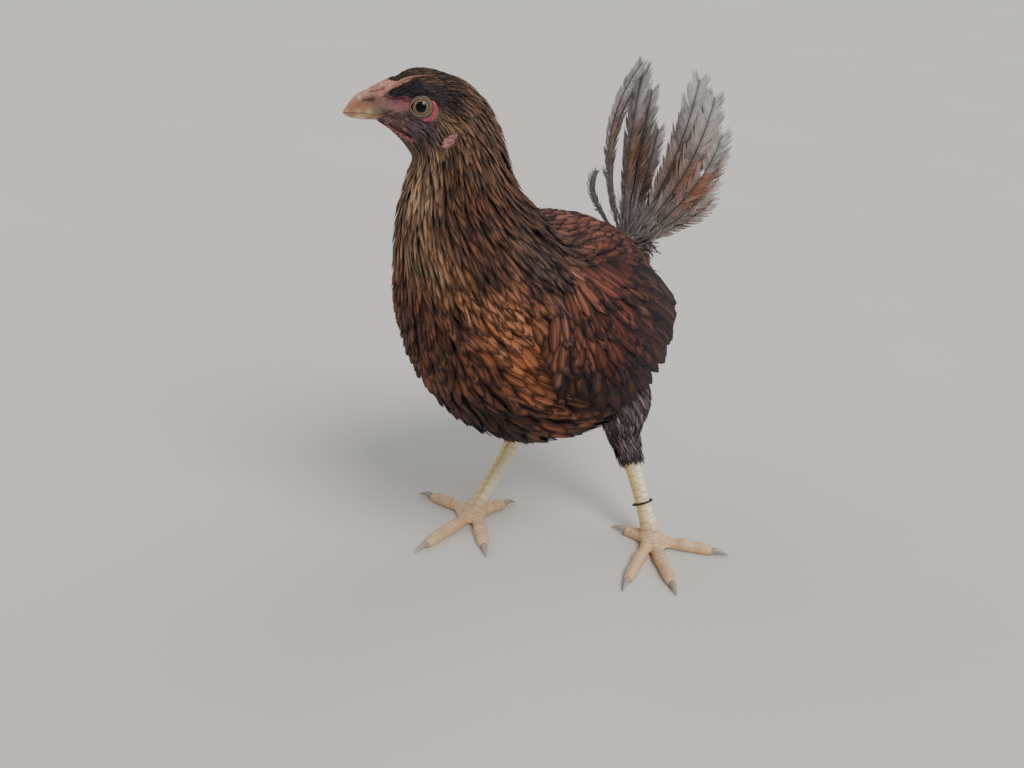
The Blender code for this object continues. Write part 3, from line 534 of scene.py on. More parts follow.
def vanes_on(surface, p, q, half, low, rise, shape, across=3, cup=0.3, roll=0.0):
    """The upper sides of vanes over lines of places, (vanes, along), and their normals.

    A point is the line's point, plus the vane's half width times its share across, plus a lift
    along the normal: low at the root, rise at the tip, less the cup times the share squared."""
    half, low, rise = (np.reshape(value, (-1, 1)) for value in (half, low, rise))
    s = shares(p.shape[1])
    line = surface(p, q, low + (rise - low) * s**0.8)
    normal, _, _ = on(surface, p, q)
    ahead = unit(np.gradient(line, axis=1))
    side = unit(np.cross(normal, ahead))
    normal = np.cross(ahead, side)
    width = (half * np.interp(s, *shape))[..., None, None]
    v = np.linspace(-1, 1, across)[:, None]
    rise_across = -cup * width * v**2 + np.reshape(roll, (-1, 1, 1, 1)) * (width * v)
    return line[:, :, None] + side[:, :, None] * (width * v) + normal[:, :, None] * rise_across, normal


def rows_of_roots(surface, rings, angles, columns, exposure):
    """Roots in staggered rows: along each column, one root for every exposure's length of skin."""
    p = np.linspace(*rings, 500)
    spacing = exposure((p[1:] + p[:-1]) / 2)
    places, turns = [], []
    for j, angle in enumerate(np.linspace(*angles, columns, endpoint=False)):
        pieces = np.linalg.norm(np.diff(surface(p, np.full_like(p, angle), 0.0), axis=0), axis=1)
        grown = np.concatenate([[0], np.cumsum(pieces / spacing)])
        at = np.interp(np.arange(0.25 + 0.5 * (j % 2), grown[-1], 1.0), grown, p)
        row = np.interp(grown[-1] / 2 + 1, grown, p) - np.interp(grown[-1] / 2, grown, p)
        places.append(at + rng.uniform(-JITTER, JITTER, len(at)) * row * 0.6)
        turns.append(angle + rng.uniform(-JITTER, JITTER, len(at)) * (angles[1] - angles[0]) / columns)
    return np.concatenate(places), np.concatenate(turns)


def bake_place(ring, angle):
    """Where a root lies on the unrolled skin, as a share of the UV square."""
    return np.stack([0.02 + 0.96 * (angle / (2 * math.pi) + 0.5) % 1.0, 0.02 + 0.96 * ring / FACE_RING], -1)

# %% [markdown]
# ## Markings
# The breed's feather is laced: a warm ground with a dark rim. What changes over the bird is the
# warmth of the ground, the darkness and width of the lace, and how soft the vane is. A short
# list names those marks where they are strongest, and each feather takes a blend by distance.
# The skin underneath reads the same list, so no pale gap shows between two feathers.

# %% Where each colour is strongest
MARKS = {
    # ring, degrees from the back, ground, lace, lace width, pale shaft, down
    "nape": (12.6, 20, (110, 84, 68), (62, 47, 39), 0.38, 0.3, 0.0),
    "nape_side": (12.2, 70, (106, 79, 62), (58, 44, 37), 0.42, 0.3, 0.0),
    "neck_side": (10.9, 88, (96, 62, 43), (46, 34, 29), 0.50, 0.4, 0.0),
    "neck_mid": (9.7, 100, (96, 65, 49), (46, 36, 33), 0.52, 0.4, 0.0),
    "throat": (11.8, 150, (162, 132, 104), (102, 80, 65), 0.34, 0.5, 0.0),
    "neck_front": (10.4, 150, (138, 107, 82), (80, 62, 51), 0.42, 0.4, 0.0),
    "hackle_low": (8.7, 62, (80, 60, 50), (34, 30, 31), 0.52, 0.9, 0.0),
    "hackle_back": (9.6, 25, (90, 60, 45), (38, 31, 30), 0.50, 0.5, 0.0),
    "breast": (8.8, 162, (102, 65, 48), (40, 30, 28), 0.52, 0.3, 0.0),
    "breast_mid": (7.8, 150, (118, 72, 53), (40, 30, 28), 0.50, 0.3, 0.0),
    "breast_low": (6.4, 164, (60, 39, 32), (28, 22, 23), 0.56, 0.2, 0.1),
    "gold_side": (7.5, 123, (142, 85, 53), (66, 40, 31), 0.34, 1.0, 0.0),
    "gold_top": (8.5, 122, (162, 105, 72), (56, 38, 32), 0.42, 0.9, 0.0),
    "gold_low": (6.0, 128, (118, 73, 51), (40, 28, 25), 0.48, 0.8, 0.0),
    "belly": (4.3, 165, (40, 32, 31), (22, 19, 20), 0.60, 0.1, 0.6),
    "flank": (3.9, 132, (58, 44, 38), (28, 24, 25), 0.55, 0.2, 0.4),
    "back": (5.2, 8, (114, 70, 54), (36, 30, 30), 0.50, 0.4, 0.0),
    "saddle": (2.6, 16, (100, 58, 43), (40, 33, 34), 0.44, 0.4, 0.0),
    "rump": (0.8, 20, (84, 58, 48), (44, 38, 38), 0.46, 0.2, 0.5),
    "vent": (1.0, 130, (62, 54, 53), (34, 31, 32), 0.46, 0.1, 0.9),
    "shoulder": (7.0, 82, (128, 80, 62), (34, 28, 30), 0.52, 0.6, 0.0),
    "wing": (4.9, 72, (94, 50, 38), (34, 29, 31), 0.56, 0.6, 0.0),
    "wing_front": (5.7, 108, (56, 36, 30), (24, 20, 21), 0.60, 0.4, 0.0),
    "wing_low": (4.4, 104, (66, 37, 30), (26, 22, 24), 0.60, 0.4, 0.0),
    "wing_rear": (2.2, 86, (66, 40, 34), (30, 26, 28), 0.60, 0.4, 0.0),
}
FACE_MARKS = (
    # forward, up, ground, lace, lace width
    (0.1120, 0.2925, (82, 64, 52), (46, 37, 32), 0.28),
    (0.1000, 0.2945, (92, 71, 56), (52, 41, 34), 0.30),
    (0.0850, 0.2900, (100, 75, 57), (54, 41, 33), 0.34),
    (0.1162, 0.2831, (56, 48, 47), (30, 26, 27), 0.30),
    (0.1058, 0.2862, (48, 42, 43), (27, 24, 26), 0.30),
    (0.0960, 0.2856, (54, 45, 44), (30, 26, 27), 0.30),
    (0.0875, 0.2820, (56, 42, 36), (30, 23, 22), 0.34),
    (0.0865, 0.2770, (70, 50, 40), (38, 28, 25), 0.34),
    (0.0790, 0.2830, (94, 67, 49), (48, 35, 29), 0.36),
    (0.0890, 0.2722, (166, 140, 110), (96, 76, 60), 0.20),
    (0.0840, 0.2712, (126, 98, 68), (72, 52, 40), 0.26),
    (0.1030, 0.2706, (92, 79, 83), (50, 43, 47), 0.26),
    (0.1075, 0.2688, (114, 88, 88), (62, 48, 50), 0.26),
    (0.0965, 0.2680, (94, 78, 77), (52, 43, 44), 0.26),
    (0.0985, 0.2625, (110, 86, 76), (62, 47, 43), 0.30),
    (0.0930, 0.2600, (102, 78, 68), (56, 42, 38), 0.30),
    (0.0905, 0.2660, (88, 70, 58), (52, 40, 35), 0.26),
    (0.0800, 0.2640, (92, 64, 47), (48, 35, 29), 0.36),
    (0.1070, 0.2590, (150, 124, 99), (88, 69, 56), 0.30),
    (0.0960, 0.2530, (162, 132, 100), (98, 76, 58), 0.34),
    (0.1140, 0.2672, (138, 106, 96), (74, 56, 52), 0.24),
)
MARK_RING, MARK_DEGREES = 1.0, 24.0
MARK_SOFT, FACE_SOFT = 0.12, 0.06
MARK_PLACES = np.array([(ring, degrees) for ring, degrees, *_ in MARKS.values()])
MARK_VALUES = np.array([[*rgb(*ground), *rgb(*lace), *rest] for _, _, ground, lace, *rest in MARKS.values()])
FACE_PLACES = np.array([(f, z) for f, z, *_ in FACE_MARKS])
FACE_VALUES = np.array([
    [*rgb(*ground), *rgb(*lace), wide, 0.2, 0.2] for _, _, ground, lace, wide in FACE_MARKS
])
FACE_REACH, FACE_BLEND = 0.0042, (12.7, 13.8)
BLOOM = np.array([0.0024, 0.0028, 0.0042])
WARM_TO_COLD = np.array([1.0, 0.2, -0.8])


def mean_by_distance(places, values, at, reach, soft):
    """The marks' mean, each weighing 1 / (its distance in reaches, squared, plus soft) squared."""
    apart = (((np.stack(at, -1)[:, None] - places) / reach) ** 2).sum(-1)
    weight = 1 / (apart + soft) ** 2
    return weight @ values / weight.sum(1, keepdims=True)


def markings(ring, angle):
    """Ground, lace and (lace width, shaft, down) at each place, on the body and on the face."""
    degrees = np.degrees(np.abs((angle + np.pi) % (2 * np.pi) - np.pi))
    body = mean_by_distance(MARK_PLACES, MARK_VALUES, (ring, degrees), (MARK_RING, MARK_DEGREES), MARK_SOFT)
    forward, _, up = ring_points(TRUNK, ring, angle)
    face = mean_by_distance(FACE_PLACES, FACE_VALUES, (forward, up), FACE_REACH, FACE_SOFT)
    value = between(body, face, smooth(*FACE_BLEND, ring)[:, None])
    return value[:, :3], value[:, 3:6], value[:, 6:]


def feather_colours(ring, angle, spread=0.24):
    """The attributes of each feather: its own blend of the marks, a little lighter or darker.

    A thin grey bloom of powder lies over every feather."""
    ground, lace, rest = markings(ring, angle)
    one_each = (len(ring), 1)
    tone = np.exp(np.clip(rng.normal(0, spread, one_each), -0.7, 0.36))
    tint = 1 + rng.normal(0, 0.08, one_each) * WARM_TO_COLD
    chance = rng.uniform(0, 1, one_each)
    width = rest[:, :1] * rng.uniform(0.8, 1.25, one_each)
    marks = np.hstack([width, rest[:, 1:2] * rng.uniform(0.3, 1.3, one_each), rest[:, 2:], chance])
    return {"ground": (ground + BLOOM) * tone * tint, "lace": (lace + BLOOM) * np.sqrt(tone), "marks": marks}

# %% [markdown]
# A feather's vane is made of barbs that leave the shaft at a slant, and they part and fray at
# the rim. The paint works on each vane's own two coordinates: across from -1 to 1, and along from
# root to tip. The lace is a band at a fixed distance from the rim, soft and broken, and dusky
# patches run over many feathers at once. The barbs are thin slanting lines, and the rim fades
# out along those same lines with the alpha.

# %% Plumage paint
def plumage_paint(name, fray, barbs, gloss=0.68, veil=1.0):
    """Ground inside, lace near the rim, slanting barbs, a shaft, and a rim frayed along the barbs."""
    paint = Paint(name)
    u, s = paint.uv("vane")
    v = u * 2 - 1
    beside = paint.maths("ABSOLUTE", v)
    width, shaft, soft = (paint.node("SeparateColor", {0: paint.read("marks")}, i) for i in range(3))
    chance = paint.read("marks", 3)
    slant = s * barbs - beside * barbs * 0.30
    lines = paint.noise(1.0, 2.0, paint.join(slant, chance * 40 + v * 0.9, 0.5))
    wide = paint.noise(1.0, 2.0, paint.join(s * 4 - beside, chance * 50 + v, 3.5))
    rim = paint.maths("MINIMUM", 1 - beside, (1 - s) * 3.6)
    edge = rim + (wide - 0.5) * 0.60 + (lines - 0.5) * 0.34
    lace = (1 - paint.step(edge - width, -0.34, 0.24)) * (0.55 + chance * 0.45)
    shadowy = paint.step(paint.noise(95.0, 3.0) + (wide - 0.5) * 0.8, 0.48, 0.66) * 0.85
    fluff = (1 - paint.step(s, 0.05, 0.36)) * 0.6
    dark = 1 - (1 - lace) * (1 - shadowy) * (1 - fluff)
    colour = paint.mix(paint.read("ground"), paint.read("lace"), dark)
    colour = paint.shade(colour, 0.52 + lines * 0.98)
    stem = (1 - paint.step(beside, 0.03, 0.11)) * shaft
    stem = stem * paint.step(s, 0.2, 0.4) * (1 - paint.step(s, 0.80, 0.95))
    colour = paint.mix(colour, paint.shade(paint.read("ground"), 2.6), stem * 0.8)
    cut = beside + paint.maths("MAXIMUM", s * 4 - 3, 0.0) * 0.45 + (lines - 0.5) * (fray + soft * 0.9)
    alpha = (1 - paint.step(cut, 0.98 - fray * 0.40, 1.06 - fray * 0.14)) * veil
    return paint.set(
        Base_Color=colour, Roughness=gloss, Alpha=alpha, Specular_IOR_Level=0.12,
        Normal=paint.bump(lines * 0.6 + stem * 0.5, 0.5, 0.0004),
    )


coat_paint = plumage_paint("laced_plumage", 0.55, 46.0)
hackle_paint = plumage_paint("hackle_plumage", 0.75, 34.0)
small_paint = plumage_paint("short_plumage", 0.8, 14.0, 0.65)

# %% [markdown]
# ## The skin under the coat
# One skin runs from rump to bill, so no seam shows where feathers part. It lies a few
# millimetres inside the outline on the body and hardly at all on the face, where it is bare.
# The relief there is worked out in the head's side view: a socket for the eye, a brow, a
# hollow lore, a swollen crescent behind the eye and the groove of the nostril.

# %% Reliefs of the face
COAT_DEPTH = ([0, 8, 9.5, 12.0, 13.5, 15, 18], [0.0040, 0.0040, 0.0034, 0.0024, 0.0011, 0.0006, 0.0000])
WING_RINGS = (1.5, 7.3)
WING_TOP = (60, 45, 40, 44, 66)
WING_BOTTOM = (96, 109, 112, 112, 96)
WING_SWELL, WING_HELD, WING_HELD_LOW = 0.0048, 0.38, 0.86
CRESCENT_INNER, CRESCENT_WIDTH, CRESCENT_MIDDLE, CRESCENT_SPAN = 0.0053, 0.0043, 24.0, 62.0
SOCKET_DEPTH, RIM_HEIGHT, NOSTRIL_DEPTH, BROW_HEIGHT, COVER_HEIGHT = 0.0034, 0.0006, 0.0017, 0.0011, 0.0008
LORE_DEPTH, GAPE_DEPTH, CREASE_HEIGHT, SWOLLEN, PLEATS = 0.0007, 0.0005, 0.00016, 0.0010, 0.00016
FACE_LINES = {
    # bent lines in the head's side view, as places forward and up
    "brow": ((0.1105, 0.2832), (0.1058, 0.2852), (0.1000, 0.2862), (0.0935, 0.2848)),
    "nostril": ((0.1283, 0.2777), (0.1262, 0.2783), (0.1238, 0.2789)),
    "nostril cover": ((0.1272, 0.2792), (0.1236, 0.2808), (0.1200, 0.2812)),
    "gape": ((0.1223, 0.2713), (0.1187, 0.2728), (0.1150, 0.2722)),
    "lore": ((0.1200, 0.2778), (0.1140, 0.2774), (0.1080, 0.2786)),
    "lobe": ((0.0842, 0.2669), (0.0889, 0.2617)),
    "wattle": ((0.1161, 0.2680), (0.1100, 0.2646), (0.1048, 0.2624)),
}
COMB_STRIP = np.array(((17.35, 20.0), (17.00, 31.0), (16.45, 36.0), (15.65, 34.0), (14.80, 30.0)))
FACE_LINES["comb strip"] = np.stack(
    ring_points(TRUNK, COMB_STRIP[:, 0], np.radians(COMB_STRIP[:, 1])), -1
)[:, ::2]


def along_wing(ring):
    """The share of the folded wing's length at a ring: 0 at its rear, 1 at its shoulder."""
    return (ring - WING_RINGS[0]) / (WING_RINGS[1] - WING_RINGS[0])


def wing_edges(u):
    """The wing's upper and lower angle at a share of its length; beyond the ends they stay."""
    places = np.clip(u, 0, 1) * (len(WING_TOP) - 1)
    edges = spline(np.array([WING_TOP, WING_BOTTOM], float).T, places)
    return np.radians(edges[..., 0]), np.radians(edges[..., 1])


def wing_swell(ring, angle, held=False):
    """How far the folded wing stands off the body, a sine hump along it times one across it.

    With held it doesn't sink at the tips."""
    u = along_wing(ring)
    top, bottom = wing_edges(u)
    v = np.clip((np.abs(angle) - top) / (bottom - top), 0, WING_HELD_LOW if held else 1)
    u = np.clip(u, WING_HELD if held else 0, 1)
    return WING_SWELL * np.sin(math.pi * u**0.8) ** 0.7 * np.clip(np.sin(math.pi * v**2.2), 0, 1) ** 0.7


def off_line(forward, up, name):
    """Distance in the side view from a face line, and the share along it of the nearest place."""
    line = np.asarray(FACE_LINES[name], float)
    best, share = np.full(np.shape(forward), 1.0), np.zeros(np.shape(forward))
    for i, (start, end) in enumerate(zip(line, line[1:])):
        span = end - start
        t = np.clip(((forward - start[0]) * span[0] + (up - start[1]) * span[1]) / (span @ span), 0, 1)
        away_by = np.hypot(forward - start[0] - t * span[0], up - start[1] - t * span[1])
        nearer = away_by < best
        best, share = np.where(nearer, away_by, best), np.where(nearer, (i + t) / (len(line) - 1), share)
    return best, share


def off_eye(forward, up):
    """Distance from the eye's middle in the side view; the eye is a little longer than high."""
    return np.hypot(forward - EYE_AT[0], (up - EYE_AT[1]) * 1.05)


def bell(distance, size):
    """1 at the middle, falling to nothing a few sizes away."""
    return np.exp(-((distance / size) ** 2))


def crescent(forward, up):
    """The swollen skin behind and below the lids: 1 at its ridge, 0 at its rim, less outside."""
    back, below = EYE_AT[0] - forward, EYE_AT[1] - up
    degrees = np.degrees(np.arctan2(below, back))
    wide = np.clip(np.cos(np.radians((degrees - CRESCENT_MIDDLE) * 90 / CRESCENT_SPAN)), 0, 1) ** 0.6
    wide = np.where(np.abs(degrees - CRESCENT_MIDDLE) < CRESCENT_SPAN, wide, 0) * CRESCENT_WIDTH + 1e-6
    return 1 - np.abs(np.hypot(back, below) - CRESCENT_INNER - wide / 2) / (wide / 2)


def ripples(places, scale, seed):
    """Low uneven waves in space, from -1 to 1: the mean of a few sine waves in random directions."""
    own = np.random.default_rng(seed)
    waves = own.normal(0, scale, (7, 3))
    return np.sin(places @ waves.T + own.uniform(0, 6, 7)).mean(-1) * 1.8


def face_relief(forward, up):
    """How far the face stands out from the plain form, in metres: its reliefs added up.

    A socket is a step down inside the lids, a ridge or a groove is a bell over the distance from
    its line, and the lore's creases are ripples between eye and bill."""
    to_eye = off_eye(forward, up)
    socket = -SOCKET_DEPTH * (1 - smooth(0.0040, 0.0050, to_eye)) + RIM_HEIGHT * bell(to_eye - 0.0062, 0.0012)
    hollow = -LORE_DEPTH * bell(np.hypot((forward - 0.1112) * 0.7, up - 0.2785), 0.0030)
    pleats = np.sin(np.arctan2(EYE_AT[1] - up, EYE_AT[0] - forward) * 14 + 700 * (forward + up))
    swollen = (SWOLLEN + PLEATS * pleats) * np.sqrt(np.clip(crescent(forward, up), 0, 1))
    slit, share = off_line(forward, up, "nostril")
    groove = -NOSTRIL_DEPTH * bell(slit, 0.00095) * np.sin(math.pi * np.clip(share, 0.03, 0.97)) ** 0.5
    ridges = BROW_HEIGHT * bell(off_line(forward, up, "brow")[0], 0.0016)
    ridges += COVER_HEIGHT * bell(off_line(forward, up, "nostril cover")[0], 0.0012)
    ridges -= GAPE_DEPTH * bell(off_line(forward, up, "gape")[0], 0.0005)
    on_lore = smooth(0.1030, 0.1060, forward) * (1 - smooth(0.1190, 0.1230, forward))
    creases = CREASE_HEIGHT * ripples(np.stack([forward, up, forward * 0], -1), 3400.0, 21) * on_lore
    return socket + hollow + swollen + groove + ridges + creases

# %% [markdown]
# The face's colours are soft patches too: pinkish grey lores, a red crescent, dark grey cheeks.
# They are mixed per vertex, and the paint adds pores, fine wrinkles and a thin oily shine.

# %% The skin's colours
FACE_PATCHES = (
    # forward, up, reach, colour
    (0.1130, 0.2812, 0.0026, (138, 76, 80)),
    (0.1095, 0.2822, 0.0024, (150, 72, 82)),
    (0.1112, 0.2776, 0.0030, (142, 92, 94)),
    (0.1150, 0.2745, 0.0034, (136, 100, 96)),
    (0.1165, 0.2790, 0.0026, (120, 80, 78)),
    (0.1072, 0.2795, 0.0022, (160, 84, 88)),
    (0.1090, 0.2735, 0.0034, (108, 80, 90)),
    (0.1040, 0.2705, 0.0045, (78, 66, 74)),
    (0.1160, 0.2860, 0.0036, (190, 122, 102)),
    (0.1215, 0.2832, 0.0036, (180, 122, 104)),
    (0.1160, 0.2815, 0.0026, (96, 66, 62)),
    (0.1215, 0.2800, 0.0026, (124, 84, 72)),
    (0.1190, 0.2768, 0.0024, (128, 96, 80)),
    (0.1190, 0.2700, 0.0035, (120, 88, 70)),
    (0.0900, 0.2730, 0.0060, (70, 52, 50)),
)
CRESCENT_RED, CRESCENT_RIM = rgb(178, 70, 87), rgb(104, 40, 50)
HORN_BORDER = (
    [0.2690, 0.2745, 0.2770, 0.2785, 0.2800, 0.2845],
    [0.1180, 0.1185, 0.1215, 0.1262, 0.1290, 0.1296],
)
HORN_PATCHES_AND_GLINT = (
    (0.1385, 0.2705, 0.0030, (184, 144, 106)),
    (0.1340, 0.2760, 0.0026, (166, 118, 86)),
    (0.1330, 0.2735, 0.0028, (160, 102, 66)),
    # painted highlight: a small whitish glint on the upper bill
    (0.1306, 0.2788, 0.0008, (206, 184, 166)),
    (0.1290, 0.2745, 0.0030, (160, 112, 76)),
    (0.1235, 0.2790, 0.0024, (116, 80, 68)),
    (0.1235, 0.2745, 0.0024, (138, 104, 84)),
    (0.1310, 0.2752, 0.0014, (136, 90, 62)),
    (0.1200, 0.2735, 0.0026, (126, 98, 78)),
    (0.1310, 0.2722, 0.0014, (212, 190, 150)),
    (0.1260, 0.2722, 0.0014, (206, 184, 142)),
    (0.1300, 0.2695, 0.0020, (206, 178, 138)),
    (0.1240, 0.2690, 0.0026, (164, 122, 88)),
    (0.1300, 0.2810, 0.0022, (172, 128, 98)),
)
# The nostril: a near-black painted shade in its slit, and a brown-grey membrane tone round it that is partly
# painted shade.
NOSTRIL_SHADE_AND_MEMBRANE = rgb(50, 34, 31), rgb(112, 80, 70)
BILL_INSIDE = rgb(120, 62, 56)
MOUTH_LINE = ((0.1165, 0.2693), (0.1223, 0.2713), (0.1294, 0.2719), (0.1340, 0.2712), (0.1400, 0.2700))


def patched(forward, up, patches):
    """The colour of the patches, each weighing as much as a bell over its distance."""
    weight = np.stack([bell(np.hypot(forward - f, up - z), reach) for f, z, reach, _ in patches], -1) + 1e-6
    return weight @ np.array([rgb(*colour) for *_, colour in patches]) / weight.sum(-1, keepdims=True)


def face_colour(forward, up):
    """Bare skin, red crescent, horn with a painted glint, mouth and nostril with painted shade, laid over one
    another in the side view.
    """
    tone = patched(forward, up, FACE_PATCHES)
    ridge = crescent(forward, up)[..., None]
    red = between(CRESCENT_RIM, CRESCENT_RED, smooth(0.0, 0.5, ridge))
    tone = between(tone, red, smooth(-0.25, 0.10, ridge))
    tone = tone * (1 + 0.22 * ripples(np.stack([forward, up, forward - up], -1), 2600.0, 12)[..., None])
    horny = smooth(-0.0010, 0.0014, forward - np.interp(up, *HORN_BORDER))[..., None]
    # The horn's own tones, with a painted highlight on the upper bill.
    tone = between(tone, patched(forward, up, HORN_PATCHES_AND_GLINT), horny)
    # Painted shade along the mouth line: the bill's inside colour, darkened, in the gap between the halves.
    mouth = bell(up - np.interp(forward, *np.array(MOUTH_LINE).T), 0.00020) * (forward > MOUTH_LINE[0][0])
    tone = between(tone, BILL_INSIDE * 0.6, mouth[..., None] * 0.8)
    # Painted shade round and in the nostril: the brown-grey membrane tone over a wide bell, then near-black
    # along the slit.
    slit = off_line(forward, up, "nostril")[0][..., None]
    tone = between(tone, NOSTRIL_SHADE_AND_MEMBRANE[1], bell(slit, 0.0021) * 0.75)
    return between(tone, NOSTRIL_SHADE_AND_MEMBRANE[0], bell(slit, 0.00085) * 0.9)


def bare_face(ring, angle, margin=0.0):
    """True where the face carries no feathers: round the eye, on lore, comb, wattle and lobe."""
    forward, _, up = ring_points(TRUNK, ring, angle)
    bare = off_eye(forward, up) < np.where(up > EYE_AT[1] + 0.002, 0.0052, 0.0057) - margin
    bare |= crescent(forward, up) > np.where(forward < EYE_AT[0] - 0.0060, 0.45, 0.15)
    for name, reach in (("lore", 0.0046), ("lobe", 0.0003), ("wattle", 0.0012)):
        bare |= off_line(forward, up, name)[0] < reach - margin
    strip, share = off_line(forward, up, "comb strip")
    bare |= strip < 0.0013 * (1 - share) + 0.0001 - margin * 0.3
    front = np.interp(np.abs(angle), [0.0, 0.30, 0.48, 0.8, 1.3], [17.60, 17.50, 17.15, 16.95, 17.05])
    bare |= (ring > front + margin * 160) & (up > 0.2700)
    return bare | (ring > 17.75)


def skin_colour(ring, angle, forward, up):
    """The coat's own ground and lace under feathers, darkened as painted shade, and the bare skin's patches
    on the face.
    """
    ground, lace, _ = markings(ring.ravel(), angle.ravel())
    # The plumage beneath shows in the gaps: mostly the lace, darkened by a fifth as painted shade between the
    # feathers.
    under = (ground * 0.4 + lace * 0.6) * 0.8
    bald = bare_face(ring, angle).reshape(-1, 1)
    bare = face_colour(forward, up).reshape(-1, 3)
    face = smooth(12.9, 14.2, ring).reshape(-1, 1) * bald
    return (under * (1 - face) + bare * face).reshape(*ring.shape, 3)


def head_surface(ring, angle, out=0.0):
    """The trunk with the face's relief; the crown lies lower, and the tuft at its front higher."""
    forward, _, up = ring_points(TRUNK, ring, angle)
    on_face = smooth(13.0, 14.0, ring)
    crown = -0.0007 * np.clip(np.cos(angle), 0, 1) * on_face * (1 - smooth(16.4, 16.9, ring))
    tuft = 0.0015 * smooth(16.4, 17.0, ring) * (1 - smooth(17.5, 17.8, ring))
    tuft = tuft * (1 - smooth(0.35, 0.62, np.abs(angle)))
    return trunk(ring, angle, out + face_relief(forward, up) * on_face + crown + tuft)


def skin_paint(name, wet=0.25, grain=900.0, relief=0.5):
    """Bare skin: its own colour with blotches, pores and wrinkles, and a faint shine."""
    paint = Paint(name)
    blotch = paint.noise(260.0, 4.0)
    pores = paint.noise(grain, 3.0)
    folds = paint.noise(520.0, 2.0, paint.stretched((1.0, 1.0, 2.4)))
    colour = paint.shade(paint.read("tone"), 0.62 + blotch * 0.46 + pores * 0.30)
    height = pores * 0.4 + folds * 0.8
    return paint.set(
        Base_Color=colour, Roughness=0.34 + pores * 0.30, Normal=paint.bump(height, relief, 0.0006),
        Subsurface_Weight=0.12, Subsurface_Radius=(0.004, 0.0015, 0.0008), Coat_Weight=wet,
        Coat_Roughness=0.35,
    )


bare_skin = skin_paint("bare_skin")

# %% Body skin
SKIN_ROWS, SKIN_SIDES = (60, 40, 170), 300
rows = np.concatenate([
    np.linspace(0.0, NECK_RING, SKIN_ROWS[0], endpoint=False),
    np.linspace(NECK_RING, HEAD_RING + 0.6, SKIN_ROWS[1], endpoint=False),
    np.linspace(HEAD_RING + 0.6, FACE_RING, SKIN_ROWS[2]),
])
ring, angle = by_turns(rows, SKIN_SIDES, -math.pi)
forward, _, up = ring_points(TRUNK, ring, angle)
inset = -np.interp(ring, *COAT_DEPTH) + wing_swell(ring, angle) * 0.9
skin_tone = skin_colour(ring, angle, forward, up)
skin_parts = [(head_surface(ring, angle, inset), {"tone": skin_tone})]
ring_mesh("body_skin", skin_parts, bare_skin, ("torso", "neck", "head"))

# %% [markdown]
# ## The coat of the body
# Feathers grow in tracts, staggered like roof tiles, and their size changes from place to place:
# tiny on the face, narrow on the neck, broad on breast and back, soft and long on belly and
# vent. So length, width and exposure are functions of the ring and the angle, and the roots are
# set along the columns one exposure apart. Wings and face keep their own feathers, so roots that
# fall there are dropped.

# %% Sizes of the feathers
RINGS_OF_SIZE = [0.0, 1.5, 4.0, 7.0, 8.6, 10.0, 11.4, 12.6, 14.0, 15.5, 18.0]
LENGTHS = [0.0200, 0.0260, 0.0260, 0.0240, 0.0225, 0.0205, 0.0160, 0.0110, 0.0062, 0.0038, 0.0022]
HALF_WIDTHS = [0.0040, 0.0048, 0.0052, 0.0048, 0.0038, 0.0024, 0.0017, 0.0013, 0.0009, 0.00065, 0.0004]
LEAF = ([0, 0.12, 0.35, 0.62, 0.82, 0.94, 1.0], [0.30, 0.62, 0.92, 1.0, 0.84, 0.52, 0.10])
LANCE = ([0, 0.15, 0.45, 0.70, 0.90, 1.0], [0.40, 0.80, 1.0, 0.86, 0.45, 0.06])


def feather_length(ring):
    """A vane's length, read off the table of rings."""
    return np.interp(ring, RINGS_OF_SIZE, LENGTHS)


def feather_half(ring, angle):
    """Half the vane's width: broader on the breast and narrower on the back at the same ring."""
    on_back = (1 - smooth(0.75, 1.15, np.abs(angle))) * (1 - smooth(8.0, 9.0, ring))
    breast = smooth(math.radians(95), math.radians(150), np.abs(angle))
    breast = breast * smooth(7, 8.5, ring) * (1 - smooth(9.2, 10.6, ring))
    return np.interp(ring, RINGS_OF_SIZE, HALF_WIDTHS) * (1 - 0.38 * on_back) + 0.0007 * breast


def body_lie(ring, angle):
    """Back along the body, a little down on the flanks, and more rearwards on the golden side."""
    side = np.sin(np.clip(np.abs(angle), 0, math.pi))
    golden = bell(ring - 6.8, 2.0) * bell(np.degrees(np.abs(angle)) - 125, 32.0)
    return np.ones_like(ring), (0.22 * side - 0.05) * (1 - smooth(10, 13, ring)) - 0.55 * golden


def over_wing(ring, angle, margin=0.0):
    """True where the folded wing covers the body."""
    u = along_wing(ring)
    top, bottom = wing_edges(u)
    inside = (np.abs(angle) > top + margin) & (np.abs(angle) < bottom - margin)
    return inside & (u > 0.02) & (u < 1 - margin * 0.6)


def coat_surface(ring, angle, out=0.0):
    """The trunk with its folded wings, so that feathers in front of a wing spread over its bend."""
    swell = wing_swell(ring, angle)
    return trunk(ring, angle, out + swell + 0.0014 * smooth(0.0, 0.003, swell))


